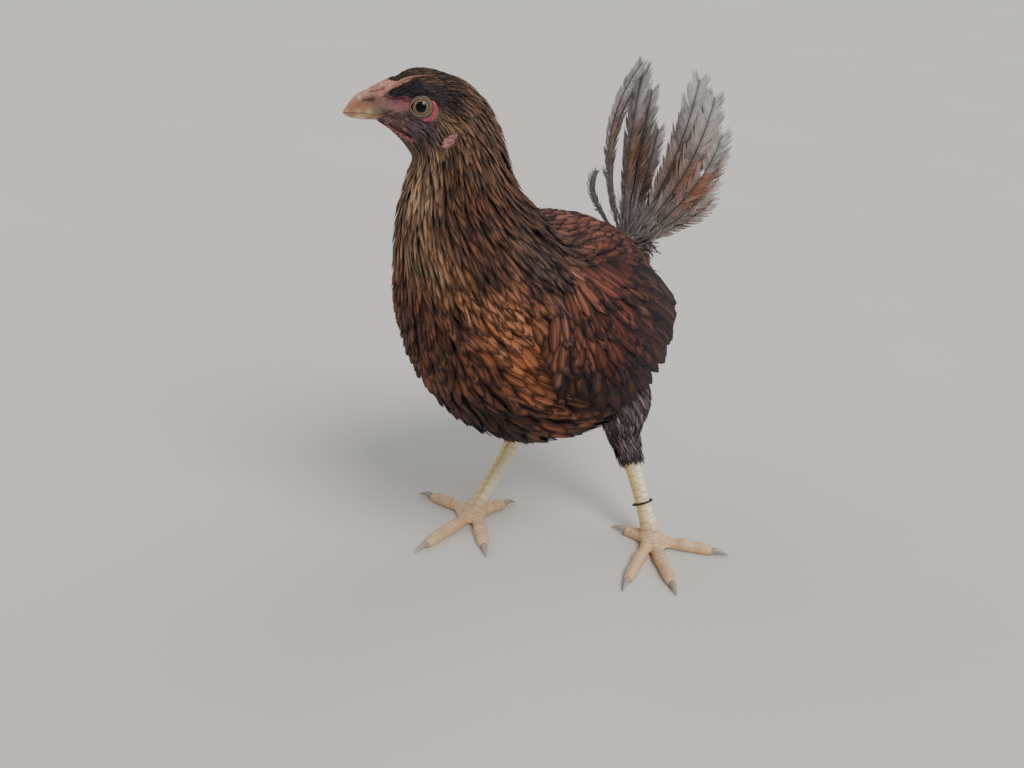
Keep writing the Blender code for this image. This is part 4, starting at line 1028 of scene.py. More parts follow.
def coat(name, rings, columns, along, across, paint, shape, low, high, keep, surface=trunk, size=1.0,
         slim=1.0, gap=0.42, wild=0.12, cup=0.3, whole=False):
    """A tract of feathers over a length of the body.

    size and slim change the vanes' length and width, gap is the share of a vane left in view,
    wild is how much neighbours differ, and whole keeps only vanes that lie on kept skin from
    root to tip."""
    everywhere = (-math.pi, math.pi)
    ring, angle = rows_of_roots(surface, rings, everywhere, columns, lambda p: feather_length(p) * gap * size)
    chosen = keep(ring, angle)
    ring, angle = ring[chosen], angle[chosen]
    length = feather_length(ring) * size * np.exp(rng.normal(0, wild, len(ring)))
    drift = 0.10 * ripples(np.stack([ring * 0.9, angle * 2.2, 0 * ring], -1), 1.0, 4)
    p, q = walk(surface, ring, angle, body_lie, length, drift + rng.normal(0, wild, len(ring)), along)
    if whole:
        clear = keep(p, q)[:, 1:].all(1)
        ring, angle, p, q = ring[clear], angle[clear], p[clear], q[clear]
    count = len(ring)
    _, _, girth = on(surface, ring, angle)
    column = girth * 2 * math.pi / columns
    base = feather_half(ring, angle)
    half = np.clip(column * 0.80, base * 0.75, base * 1.15) * slim * np.exp(rng.normal(0, wild, count))
    depth = low * np.interp(ring, *COAT_DEPTH)
    rise = high + rng.normal(0, 0.12, count) * base * 0.5
    roll = rng.normal(0, wild * 1.2, count)
    top, normal = vanes_on(surface, p, q, half, depth, rise, shape, across, cup=cup, roll=roll)
    thickness = np.clip(half * 0.05, 0.00005, 0.00025)
    vane_mesh(name, top, normal, thickness, bake_place(ring, angle), feather_colours(ring, angle), paint)

# %% Body, neck and head feathers
VENT_EDGE = ([0, 1.2, 2.0, 4.4], [35, 75, 112, 138])
coat(
    "body_feathers", (0.35, 8.9), 72, 7, 5, coat_paint, LEAF, -1.0, 0.0004,
    lambda ring, angle: ~over_wing(ring, angle, 0.06) & ((np.abs(angle) > 0.45) | (ring > 1.1)),
    surface=coat_surface, size=1.1, gap=0.38, wild=0.15,
)
coat(
    "neck_feathers", (8.4, 12.9), 96, 8, 3, hackle_paint, LANCE, -1.0, 0.0007,
    lambda ring, angle: ring < 13.2, size=1.15, gap=0.34,
)
coat(
    "head_feathers", (12.8, 17.95), 126, 5, 3, small_paint, LANCE, -0.9, 0.0003,
    lambda ring, angle: ~bare_face(ring, angle, rng.normal(0, 0.0008, ring.shape)),
    surface=head_surface, gap=0.34, cup=0.2, size=1.15, slim=0.85, whole=True,
)
coat(
    "face_bristles", (14.4, 17.7), 110, 4, 3, small_paint, LANCE, -0.5, 0.0005,
    lambda ring, angle: bare_face(ring, angle) & ~bare_face(ring, angle, 0.0022) & (np.abs(angle) > 0.8),
    surface=head_surface, slim=0.14, gap=0.24, wild=0.35,
)
coat(
    "vent_down", (0.15, 4.4), 110, 7, 3, small_paint, LANCE, -0.6, 0.0022,
    lambda ring, angle: np.abs(angle) > np.radians(np.interp(ring, *VENT_EDGE)),
    size=0.72, slim=0.36, gap=0.34, wild=0.2,
)

# %% [markdown]
# ## The folded wings
# A folded wing is a fan of long quills under rows of coverts that grow shorter towards the
# shoulder. The quills' lines are drawn from root to tip on the swollen side of the body, each
# one lying a little over the next, and the coverts are walked back and down over them.

# %% Wings
QUILLS = 17
QUILL_ROOTS = (3.4, 44), (4.2, 54), (5.0, 65), (5.7, 76), (6.3, 84)
QUILL_ENDS = (1.15, 80), (1.55, 96), (2.2, 107), (3.2, 115), (4.5, 118)
QUILL_HALF = 0.0060
COVERT_ROWS = [2.3, 4.0, 5.5, 7.3]
COVERT_GAPS, COVERT_LENGTHS = [0.0100, 0.0100, 0.0080, 0.0056], [0.024, 0.031, 0.028, 0.018]
COVERT_HALVES = [0.0052, 0.0050, 0.0044, 0.0034]
COVERT_EDGE = ([1.5, 2.6, 4.0, 5.8, 7.0], [0.62, 0.55, 0.55, 0.72, 1.0])
COVERT_ANGLES = math.radians(34), math.radians(112)


def wing_surface(ring, angle, out):
    """The body's surface with the folded wing's swelling."""
    return trunk(ring, angle, out + wing_swell(ring, angle, held=True))


def down_wing(ring, angle):
    """How far down the wing a place lies, 0 at its upper edge and 1 at its lower, and that edge."""
    top, bottom = wing_edges(along_wing(ring))
    return np.clip((np.abs(angle) - top) / (bottom - top), 0, 1), bottom


def wing_lie(ring, angle):
    """Rearwards along the top of the wing, and more and more downwards towards its lower front."""
    share, _ = down_wing(ring, angle)
    return np.ones_like(ring), 0.40 + 1.10 * share + 0.35 * smooth(4.5, 7.0, ring)


def wing_coverts(side):
    """Rows of coverts over one wing, longer towards the rear, as lines of places on the wing.

    None is longer than the room from its root to the wing's lower edge."""
    ring, angle = rows_of_roots(
        wing_surface, (1.5, 7.25), COVERT_ANGLES, 21, lambda p: np.interp(p, COVERT_ROWS, COVERT_GAPS)
    )
    share, _ = down_wing(ring, angle)
    chosen = over_wing(ring, angle, -0.02) & (share < np.interp(ring, *COVERT_EDGE))
    ring, angle = ring[chosen], angle[chosen] * side
    count = len(ring)
    length = np.interp(ring, COVERT_ROWS, COVERT_LENGTHS) * np.exp(rng.normal(0, 0.16, count))
    _, bottom = down_wing(ring, angle)
    _, _, girth = on(wing_surface, ring, angle)
    _, low = wing_lie(ring, angle)
    room = np.clip(bottom - np.abs(angle), 0, 2) * girth * np.hypot(1, low) / low + 0.010
    turn = rng.normal(0, 0.10, count)
    p, q = walk(wing_surface, ring, angle, wing_lie, np.minimum(length, room), turn, 8)
    half = np.interp(ring, COVERT_ROWS, COVERT_HALVES) * np.exp(rng.normal(0, 0.12, count))
    return p, q, half


def wing_quills(side):
    """The long quills of one wing, fanned from the wrist to the rear and the lower edge."""
    share = np.linspace(0, 1, QUILLS)
    steps = shares(12)
    root, end = (spline(rows, share * (len(rows) - 1))[:, None] for rows in (QUILL_ROOTS, QUILL_ENDS))
    p = root[..., 0] + (end[..., 0] + 0.10 * np.sin(share * 40)[:, None] - root[..., 0]) * steps
    q = np.radians(root[..., 1] + (end[..., 1] - root[..., 1]) * (0.55 * steps + 0.45 * steps**2))
    return p, q * side


for name, side in SIDES:
    p, q = wing_quills(side)
    order = np.arange(QUILLS)
    half = QUILL_HALF * (1 + 0.12 * np.sin(order * 1.7))
    rise = 0.0004 + 0.00026 * (QUILLS - 1 - order) + 0.0005 * np.sin(order * 2.3)
    top, normal = vanes_on(wing_surface, p, q, half, -0.0008, rise, LEAF, 7, cup=0.15, roll=0.16 * side)
    vane_mesh(
        f"wing_quills_{name}", top, normal, 0.0004, bake_place(p[:, 0], q[:, 0]),
        feather_colours(p[:, -4], q[:, -4]), coat_paint, (f"wing_{name}",),
    )
    p, q, half = wing_coverts(side)
    rise, roll = 0.0016 + rng.normal(0, 0.0004, len(half)), rng.normal(0, 0.14, len(half))
    top, normal = vanes_on(wing_surface, p, q, half, -0.0012, rise, LEAF, 5, cup=0.25, roll=roll)
    vane_mesh(
        f"wing_coverts_{name}", top, normal, 0.0002, bake_place(p[:, 0], q[:, 0]),
        feather_colours(p[:, 2], q[:, 2], 0.40), coat_paint,
    )

# %% [markdown]
# ## The eyes
# A hen's eye is a ball that shows only its front: a round black pupil, a brown iris with fine
# spokes and a thin pale ring at its edge. The ball is a grid of rings round its own axis, so the
# UV's second number is the distance from the pupil's middle, which paints the iris's rings, and
# the first runs once round and draws the spokes. A clear coat on the shader gives the wet shine.

# %% Eyes
PUPIL, IRIS, PALE_RING = 0.124, 0.212, 0.232
CORNEA_RISE, CORNEA_REACH = 0.045, 0.55

eye_paint = Paint("eye_gloss")
spoke, radius = eye_paint.uv("wrap")
fibres = eye_paint.noise(1.0, 2.0, eye_paint.join(spoke * 60, radius * 14, 0.0))
iris = eye_paint.mix(rgb(90, 76, 60), rgb(140, 122, 98), fibres)
iris = eye_paint.mix(iris, rgb(74, 60, 44), 1 - eye_paint.step(radius, PUPIL, PUPIL + 0.03))
iris = eye_paint.mix(iris, rgb(128, 108, 84), eye_paint.step(radius, IRIS - 0.010, IRIS))
iris = eye_paint.mix(iris, rgb(34, 26, 24), eye_paint.step(radius, PALE_RING - 0.006, PALE_RING))
seen = eye_paint.mix(rgb(2, 2, 2), iris, eye_paint.step(radius, PUPIL - 0.003, PUPIL + 0.003))
eye_gloss = eye_paint.set(
    Base_Color=seen, Roughness=0.4, Specular_IOR_Level=0.02, Coat_Weight=0.45, Coat_Roughness=0.01
)
for name, side in SIDES:
    place, axes = cheek_axes(*EYE_AT, side)
    ball, polar = ball_grid(60, 64, 0.02)
    reach = EYE_RADIUS * (1 + CORNEA_RISE * bell(polar, CORNEA_REACH))
    ball = place + (ball * reach[..., None] - [0, 0, EYE_SUNK]) @ axes
    ring_mesh(f"eyeball_{name}", [(ball, {})], eye_gloss, (f"eye_{name}",))

# %% [markdown]
# The lids are soft folds that lie round the ball one outside the other. Their section runs from
# the ball's edge up over three small ridges and down into the skin, and it is carried once round
# the eye. The opening is a little longer than high, with a corner towards the bill.

# %% Lids
LID_INNER, LID_OUTER, LID_THICK = 0.0042, 0.0067, 0.0011
LID_FRONT, LID_BACK = 22, 8
# The lids' tones: a pale edge, a near-black painted shade in the folds' troughs, the folds' crests, and a
# reddish outer part.
LID_TONES_WITH_FOLD_SHADE = rgb(150, 128, 104), rgb(44, 35, 35), rgb(126, 104, 93), rgb(110, 70, 70)


def lid_height(reach, share, round_it):
    """Height over the cheek: the ball's edge, then ridges that die out towards the skin."""
    edge = np.sqrt(EYE_RADIUS**2 - np.minimum(reach, LID_INNER) ** 2) - EYE_SUNK
    fall = (edge + 0.00045) * (1 - smooth(0.0, 1.0, share)) - 0.0013 * smooth(0.1, 1.0, share)
    return fall + 0.00032 * lid_wave(share, round_it) * (1 - share) ** 0.5 + 0.0003 * bell(share - 0.12, 0.12)


def lid_wave(share, round_it):
    """The lids' fine folds, as a wave across them that wanders a little round the eye."""
    wander = 0.16 * np.sin(2 * round_it + 1.0) + 0.07 * np.sin(5 * round_it)
    wander = wander + 0.04 * np.sin(11 * round_it + 2)
    return np.cos(2 * math.pi * (2.7 * share + wander - 0.12))


for name, side in SIDES:
    place, axes = cheek_axes(*EYE_AT, side)
    share = np.concatenate([np.linspace(0, 1, LID_FRONT), np.linspace(1, 0, LID_BACK)])
    depth = np.concatenate([np.zeros(LID_FRONT), np.full(LID_BACK, LID_THICK)])
    share, turn = np.meshgrid(share, np.linspace(0, 2 * math.pi, 121))
    corner = bell(np.cos(turn / 2) ** 2 - 1, 0.05)
    inner = LID_INNER * (1 + 0.07 * np.cos(turn) ** 2 - 0.05 * np.sin(turn) ** 2 + 0.10 * corner)
    reach = inner + (LID_OUTER - inner) * share
    height = lid_height(reach, share, turn) - depth
    lid = place + np.stack([reach * np.cos(turn), reach * np.sin(turn), height], -1) @ axes
    # Painted shade: the folds' troughs are near-black, their crests keep the lid's tone.
    folds = smooth(-0.7, 0.7, lid_wave(share, turn))[..., None]
    tone = between(LID_TONES_WITH_FOLD_SHADE[1], LID_TONES_WITH_FOLD_SHADE[2], folds)
    tone = between(tone, LID_TONES_WITH_FOLD_SHADE[3], smooth(0.6, 1.0, share)[..., None])
    tone = between(tone, LID_TONES_WITH_FOLD_SHADE[0], bell(share - 0.06, 0.09)[..., None])
    ring_mesh(f"lid_{name}", [(lid, {"tone": tone})], bare_skin, ())

# %% [markdown]
# ## The bill
# The two halves of a bill are horn sheaths that meet along a bent line, the upper one a little
# wider and hooked over the tip. Each half is a closed loft: the outer wall runs round the ring
# from cutting edge to cutting edge, and an inner wall comes back along the palate. The nostril's
# groove comes from the same relief as the face, so it runs on from skin to horn unbroken.

# %% Bill
BILL = (
    (0.1215, 0.2838, 0.1200, 0.2672, 0.0088, 0.00),
    (0.1250, 0.2826, 0.1225, 0.2676, 0.0080, 0.00),
    (0.1285, 0.2817, 0.1270, 0.2674, 0.0069, 0.00),
    (0.1320, 0.2796, 0.1310, 0.2674, 0.0055, 0.00),
    (0.1348, 0.2766, 0.1345, 0.2678, 0.0038, 0.00),
    (0.1372, 0.2732, 0.1370, 0.2686, 0.0021, 0.00),
    (0.1388, 0.2707, 0.1386, 0.2697, 0.0006, 0.00),
)
BILL_RINGS, BILL_WALL, BILL_PALATE = 90, 60, 20
BILL_GAP, BILL_LOWER_WIDTH = 0.00018, 0.94


def bill_half(upper):
    """One half of the bill as rings, with the colour of each point.

    The outer wall is the part of each ring above or below the mouth, moved out by the face's
    relief; the palate is a shallow arch between the wall's two edges."""
    t = np.linspace(0.25, len(BILL) - 1.02, BILL_RINGS)
    rows = spline(BILL, t)
    mouth = np.interp((rows[:, 0] + rows[:, 2]) / 2, *np.array(MOUTH_LINE).T)
    high, low = (rows[:, 1] + rows[:, 3]) / 2, (rows[:, 1] - rows[:, 3]) / 2
    at_mouth = np.arccos(np.clip((mouth - (0.0 if upper else BILL_GAP) - high) / low, -0.98, 0.98))
    w = np.linspace(-1, 1, BILL_WALL)
    wall = w * at_mouth[:, None] if upper else math.pi + w * (math.pi - at_mouth[:, None])
    forward, left, up = ring_points(BILL, t[:, None], wall)
    left = left * (1.0 if upper else BILL_LOWER_WIDTH)
    edge = bell(np.abs(w)[None] - 1, 0.16) * (0.00022 if upper else -0.0001)
    out = face_relief(forward, up) * (forward > 0.1195) + edge
    point = np.stack([forward, left, up], -1)
    normal = unit(np.cross(*np.gradient(point, axis=(0, 1))))
    facing = np.sign((normal * np.stack([forward * 0, left, up - high[:, None]], -1)).sum(-1).mean())
    point = point + normal * facing * out[..., None]
    first, last = point[:, :1], point[:, -1:]
    inner = np.linspace(1, -1, BILL_PALATE + 2)[1:-1]
    arch = 0.35 * low[:, None] * (1 - inner**2) * (1 if upper else -1)
    palate = (last + first) / 2 + (last - first) / 2 * inner[:, None] * 0.93 + UP * arch[..., None]
    ring = np.concatenate([point, palate], 1)
    inside = np.concatenate([np.zeros(BILL_WALL), np.ones(BILL_PALATE)])[:, None]
    tone = between(face_colour(ring[..., 0], ring[..., 2]), BILL_INSIDE, inside)
    return turned(ring[..., 0], ring[..., 1], ring[..., 2]), tone


horn_paint = Paint("bill_horn")
growth = horn_paint.noise(300.0, 4.0)
fine = horn_paint.noise(1400.0, 2.0, horn_paint.stretched((1.0, 1.0, 0.35)))
horn = horn_paint.set(
    Base_Color=horn_paint.shade(horn_paint.read("tone"), 0.74 + growth * 0.36 + fine * 0.16),
    Roughness=0.30 + growth * 0.18, Normal=horn_paint.bump(fine, 0.18, 0.0004),
    Subsurface_Weight=0.10, Subsurface_Radius=(0.002, 0.0012, 0.0007), Coat_Weight=0.35, Coat_Roughness=0.25,
)
for name, upper in (("upper", True), ("lower", False)):
    points, tone = bill_half(upper)
    ring_mesh(f"bill_{name}", [(points, {"tone": tone})], horn, (f"beak_{name}",))

# %% [markdown]
# ## Comb, wattles and ear lobes
# A pullet's comb is no more than a rosy wedge on the forehead with low, close bumps, and a thin
# strip that runs back between crown and brow. Under the throat a narrow fold is all there is of
# the wattle yet, and the ear lobe is a slanting oval of bare skin. All are soft skin, so all
# take the face's paint, each with its own tone and with painted light and shade on its relief:
# lighter bump tops on the comb, darker pleats on the wattle, darker creases and rim on the lobe.

# %% Comb, wattles, lobes
COMB = (
    (0.1268, 0.2818, 0.0028, 0.0010),
    (0.1240, 0.2831, 0.0044, 0.0014),
    (0.1210, 0.2840, 0.0058, 0.0020),
    (0.1175, 0.2858, 0.0062, 0.0022),
    (0.1150, 0.2872, 0.0052, 0.0014),
    (0.1130, 0.2880, 0.0038, 0.0006),
)
COMB_STRIP_RADIUS = (0.0019, 0.0003)
COMB_TONES, STRIP_END = (rgb(194, 134, 120), rgb(150, 94, 84)), rgb(112, 78, 64)
WATTLE_LINE = ((0.1161, 0.2675), (0.1130, 0.2657), (0.1100, 0.2641), (0.1067, 0.2627), (0.1037, 0.2614))
WATTLE_RADII, WATTLE_OUT = (0.0005, 0.0009, 0.0012, 0.0010, 0.0004), 0.0003
STRIP_RINGS, WATTLE_RINGS = 50, 40
# The wattle's tones: a dark red as painted shade in the pleats' troughs and a lighter red on their crests.
WATTLE_SHADE_AND_CREST = rgb(88, 42, 42), rgb(156, 76, 68)
LOBE_AT, LOBE_SIZE = (0.0866, 0.2642), np.array([0.0050, 0.0025, 0.0007])
LOBE_SLANT, LOBE_SUNK = math.radians(-47), 0.0006
# The lobe's tones: a darker one as painted shade in its creases, and its own pink on the raised parts.
LOBE_SHADE_AND_TONE = rgb(126, 80, 80), rgb(172, 112, 108)


def tube_grid(path, radii, sides, square_to=None, guide=UP):
    """Rings round a path, (places, sides, 3), with a radius for each of its points."""
    path = np.asarray(path, float)
    ahead = unit(np.gradient(path, axis=0) if square_to is None else np.tile(square_to, (len(path), 1)))
    side = unit(np.cross(np.broadcast_to(guide, ahead.shape), ahead))
    up = np.cross(ahead, side)
    angle = np.linspace(0, 2 * math.pi, sides, endpoint=False)[None, :, None]
    radii = np.asarray(radii, float)[:, None, None]
    return path[:, None] + radii * (np.sin(angle) * side[:, None] + np.cos(angle) * up[:, None])


row, turn = by_turns(np.linspace(0, 5, 70), 64)
forward, up, half, rise = np.moveaxis(spline(COMB, row), -1, 0)
warts = np.clip(ripples(np.stack([forward, half * np.sin(turn), up], -1), 2300.0, 3), -0.4, 1)
swell = 1 + 0.20 * warts * np.clip(np.cos(turn) + 0.3, 0, 1)
saddle = turned(forward, half * np.sin(turn) * (0.9 + 0.1 * swell), up - 0.0002 + rise * np.cos(turn) * swell)
# Painted light and shade: the comb is lighter on the tops of its bumps and darker between them.
saddle_shade_and_highlight = between(COMB_TONES[1], COMB_TONES[0], smooth(-0.5, 0.6, warts)[..., None])
comb_parts = [(saddle, {"tone": saddle_shade_and_highlight})]
fade = smooth(0.2, 1.0, np.linspace(0, 1, STRIP_RINGS))[:, None, None]
for side in (1, -1):
    at, degrees = spline(COMB_STRIP, np.linspace(0, len(COMB_STRIP) - 1, STRIP_RINGS)).T
    radii = np.linspace(*COMB_STRIP_RADIUS, STRIP_RINGS) * (1 + 0.10 * np.sin(np.arange(STRIP_RINGS) * 0.9))
    line = trunk(at, side * np.radians(degrees), -0.55 * radii - 0.0002)
    comb_parts.append((tube_grid(line, radii, 20), {"tone": between(COMB_TONES[0], STRIP_END, fade)}))
soft_skin = skin_paint("comb_skin", 0.35, 1200.0, 0.7)
ring_mesh("rose_comb", comb_parts, soft_skin, ("comb",))

for name, side in SIDES:
    along = np.linspace(0, len(WATTLE_LINE) - 1, WATTLE_RINGS)
    places = [on_head(*place, side) for place in spline(WATTLE_LINE, along)]
    line = np.array([here + outward * WATTLE_OUT for here, outward in places])
    line[1:-1] = (line[:-2] + line[1:-1] * 2 + line[2:]) / 4
    fold = tube_grid(line, spline(np.array(WATTLE_RADII)[:, None], along)[:, 0], 28)
    pleat = ripples(fold, 2600.0, 5)[..., None]
    fold = fold + unit(fold - line[:, None]) * (pleat * 0.00016)
    # Painted shade: darker in the pleats' troughs, lighter on their crests.
    tone = between(*WATTLE_SHADE_AND_CREST, smooth(-0.6, 0.5, pleat))
    ring_mesh(f"wattle_fold_{name}", [(fold, {"tone": tone})], soft_skin, (f"wattle_{name}",))

    place, (ahead, upward, outward) = cheek_axes(*LOBE_AT, side)
    long_way = -(ahead * math.cos(LOBE_SLANT) + upward * math.sin(LOBE_SLANT))
    axes = np.array([long_way, np.cross(outward, long_way), outward])
    ball, polar = ball_grid(40, 48, 0.03)
    crease = ripples(ball * LOBE_SIZE, 1900.0, 8)[..., None]
    lobe = place - outward * LOBE_SUNK + (ball * LOBE_SIZE * (1 + 0.10 * crease)) @ axes
    # Painted shade: the lobe is darker in its creases and darker still towards its rim, where it sinks into
    # the cheek.
    rim = 1 - 0.40 * smooth(0.70, 1.0, np.sin(polar))[..., None]
    tone = between(*LOBE_SHADE_AND_TONE, smooth(-0.7, 0.5, crease)) * rim
    ring_mesh(f"lobe_{name}", [(lobe, {"tone": tone})], soft_skin, (f"ear_lobe_{name}",))

# %% [markdown]
# ## Thighs
# The drumstick hides in long soft plumes that hang over the joint and end in a cuff. It is a tube
# along a bent line, so the same vanes are walked down it, softer and greyer than the rest.

# %% Thighs
LEGS = {
    "left": {
        "inside": (0.0180, 0.0000, 0.1200), "thigh": (0.0205, 0.0180, 0.0930),
        "hock": (0.0196, 0.0294, 0.0640), "foot": (0.0538, 0.0221),
        "toes": (
            ("inner", 17.5, 0.060), ("middle", 49.2, 0.058), ("outer", 118.1, 0.050), ("hind", -85.2, 0.0285),
        ),
    },
    "right": {
        "inside": (-0.0470, -0.0250, 0.1200), "thigh": (-0.0450, -0.0062, 0.0922),
        "hock": (-0.0397, 0.0094, 0.0650), "foot": (-0.0442, -0.0349),
        "toes": (
            ("inner", 48.8, 0.048), ("middle", 2.9, 0.060), ("outer", -83.0, 0.045), ("hind", 169.0, 0.034),
        ),
    },
}
THIGH_RADII, CUFF_SHARE, CUFF_SPARE = (0.0200, 0.0188, 0.0105, 0.0066), 0.36, 0.0060
PAD_RADIUS, PAD_HEIGHT, ANKLE_LENGTH = 0.0088, 0.0070, 0.0105
FLUFF_TONES = rgb(80, 71, 71), rgb(42, 37, 38)
FLUFF_ROWS, FLUFF_COLUMNS = 24, 46
FLUFF_WARM = rgb(122, 110, 110)
FLUFF_LENGTHS = ([0.5, 1.5, 2.5], [0.022, 0.018, 0.0085])
FLUFF_HALVES = ([0.5, 1.6, 2.5], [0.0018, 0.0014, 0.0008])


def leg_places(side):
    """The named places of one leg in the scene's frame: hock, foot, sole, end of the shank, cuff."""
    leg = LEGS[side]
    hock = np.array(leg["hock"]) + shift
    foot = np.array([*leg["foot"], 0.0]) + [shift[0], shift[1], 0]
    sole = foot + [0, 0, PAD_HEIGHT]
    down = unit(sole - hock)
    end = sole - down * ANKLE_LENGTH
    return hock, foot, sole, down, end, hock + (end - hock) * CUFF_SHARE


def thigh_of(side):
    """The thigh's surface as a function of row and angle, like the trunk's.

    A point is the bent line's point plus the radius there times a direction square to the line."""
    hock, _, _, down, _, cuff = leg_places(side)
    inside, thigh = (np.array(LEGS[side][place]) + shift for place in ("inside", "thigh"))
    path = np.array([inside, thigh, hock, cuff + down * CUFF_SPARE])

    def surface(row, angle, out=0.0):
        """A place on the tube, moved out by so many metres."""
        row, angle, out = np.broadcast_arrays(np.asarray(row, float), np.asarray(angle, float), out)
        ahead = unit(spline(path, row + 0.02) - spline(path, row - 0.02))
        across = unit(np.cross([1.0, 0.0, 0.0], ahead))
        other = np.cross(ahead, across)
        reach = spline(np.array(THIGH_RADII)[:, None], row)[..., 0] + out
        round_it = np.sin(angle)[..., None] * across + np.cos(angle)[..., None] * other
        return spline(path, row) + reach[..., None] * round_it

    return surface


def hanging(row, angle):
    """Straight down the leg, for every plume."""
    return -np.ones_like(row), np.zeros_like(row)


def soft_marks(width, shaft, down):
    """The marks of soft vanes: each one's lace width, one shaft and one down for all, and chance."""
    shaft, down = np.full_like(width, shaft), np.full_like(width, down)
    return np.hstack([width, shaft, down, rng.uniform(0, 1, width.shape)])


fluff_paint = plumage_paint("thigh_fluff", 1.1, 26.0, 0.8)
for name, _ in SIDES:
    surface = thigh_of(name)
    row, angle = by_turns(np.linspace(0.1, 2.72, 40), 40)
    # The skin under the plumes is the fluff's dark tone darkened further, painted shade beneath them.
    skin_parts = [(surface(row, angle, -0.0022), {"tone": FLUFF_TONES[1] * 0.6})]
    ring_mesh(f"thigh_skin_{name}", skin_parts, bare_skin, (f"thigh_{name}",))
    row, angle = by_turns(np.linspace(0.55, 2.50, FLUFF_ROWS), FLUFF_COLUMNS, 0.05)
    angle = angle + (np.arange(FLUFF_ROWS) % 2)[:, None] * math.pi / FLUFF_COLUMNS
    row, angle = (grid.ravel() + rng.uniform(-0.06, 0.06, grid.size) for grid in (row, angle))
    count = len(row)
    length = np.interp(row, *FLUFF_LENGTHS) * rng.uniform(0.70, 1.30, count)
    p, q = walk(surface, row, angle, hanging, length, rng.normal(0, 0.14, count), 7)
    half, rise = np.interp(row, *FLUFF_HALVES), rng.uniform(-0.0002, 0.0016, count)
    roll = rng.normal(0, 0.15, count)
    top, normal = vanes_on(surface, p, q, half, -0.0018, rise, LANCE, cup=0.35, roll=roll)
    tone = np.exp(rng.normal(0, 0.35, (count, 1)))
    warm = smooth(0.0, 1.0, rng.uniform(-0.5, 1.2, (count, 1)))
    colours = {
        "ground": between(FLUFF_TONES[0], FLUFF_WARM, warm) * tone, "lace": FLUFF_TONES[1] * tone,
        "marks": soft_marks(rng.uniform(0.1, 0.3, (count, 1)), 0.5, 0.8),
    }
    bake = np.stack([0.02 + 0.96 * (angle / (2 * math.pi)) % 1.0, 0.02 + 0.32 * row], -1)
    vane_mesh(f"thigh_fluff_{name}", top, normal, 0.0001, bake, colours, fluff_paint)

# %% [markdown]
# ## The tail
# The tail stands up in two fans. Its quills are grey, worn and half see-through, with dark shafts
# and rusty patches. Each follows a bowed line between two points, its face turned to one side.

# %% Tail
TAIL_ROOT, TAIL_TWIST, TAIL_STACK = (-0.0190, 0.0700, 0.1760), 0.0015, 0.0012
TAIL_FACING = {"left": (0.60, -0.80, 0.0), "right": (-0.20, -0.98, 0.0)}
TAIL_FANS = {
    # tip, bow of its middle, half width, rust, where the rust is strongest
    "right": (
        ((-0.0300, 0.106, 0.2404), -0.002, 0.0075, 0.7, 0.40),
        ((-0.0400, 0.110, 0.2640), -0.003, 0.0085, 0.9, 0.45),
        ((-0.0483, 0.112, 0.2768), -0.006, 0.0095, 0.8, 0.40),
        ((-0.0458, 0.110, 0.2809), -0.021, 0.0060, 0.5, 0.50),
        ((-0.0563, 0.085, 0.2085), -0.014, 0.0042, 0.0, 0.50),
    ),
    "left": (
        ((-0.0120, 0.108, 0.2520), 0.002, 0.0075, 0.5, 0.40),
        ((-0.0095, 0.112, 0.2765), 0.004, 0.0085, 0.6, 0.45),
        ((-0.0006, 0.118, 0.2668), 0.007, 0.0092, 0.8, 0.45),
        ((0.0068, 0.121, 0.2440), 0.008, 0.0085, 0.9, 0.50),
        ((0.0062, 0.118, 0.2130), 0.006, 0.0080, 0.4, 0.50),
    ),
}
TAIL_GREY, TAIL_RUST, TAIL_PALE = rgb(146, 133, 128), rgb(152, 94, 62), rgb(200, 193, 189)
QUILL_SHAPE = ([0, 0.22, 0.50, 0.76, 0.91, 1.0], [0.30, 0.72, 1.00, 0.98, 0.72, 0.20])


def bowed(root, tip, bow, s):
    """Points on bowed lines between roots and tips, at shares s: (lines, shares, 3)."""
    root, tip, bow = (np.asarray(x, float)[:, None] for x in (root, tip, bow))
    s = np.asarray(s)[..., None]
    return root + (tip - root) * s + bow * 4 * s * (1 - s)


def ribbons(line, facing, half, shape, across=3, cup=0.12):
    """Vanes along lines in the air, (vanes, along, 3), their faces turned to a direction."""
    s = shares(line.shape[1])
    ahead = unit(np.gradient(line, axis=1))
    side = unit(np.cross(ahead, facing))
    normal = np.cross(side, ahead)
    v = np.linspace(-1, 1, across)
    reach = (np.asarray(half)[:, None] * np.interp(s, *shape))[..., None, None] * v[:, None]
    drop = np.abs(reach) * np.abs(v)[:, None] * -cup
    return line[:, :, None] + side[:, :, None] * reach + normal[:, :, None] * drop, normal

# %% [markdown]
# A worn vane is no sheet any more: its barbs hang together in wisps with gaps between. So every
# barb is its own sliver here. It leaves the shaft sideways and bends towards the tip; a wisp of
# neighbours shares one lean, one lift and one length, and now and then a wisp is missing.

# %% Quills with single barbs
BARBS, WISP, TAIL_ALPHA = 132, 8, 0.60
BARB_SHAPE = ([0, 0.5, 0.85, 1.0], [1.0, 0.85, 0.45, 0.12])
BARB_SLOPE = ([0, 0.15, 0.8, 0.93, 1.0], [0.6, 1.2, 1.5, 1.7, 2.0])
WISP_FAN = ([0, 0.3, 0.8, 1], [0.3, 1, 1, 0.3])
SHAFT_TONES, SHAFT_POINTS = (rgb(66, 54, 50), rgb(36, 31, 32)), 40
QUILL_STEP = 0.004


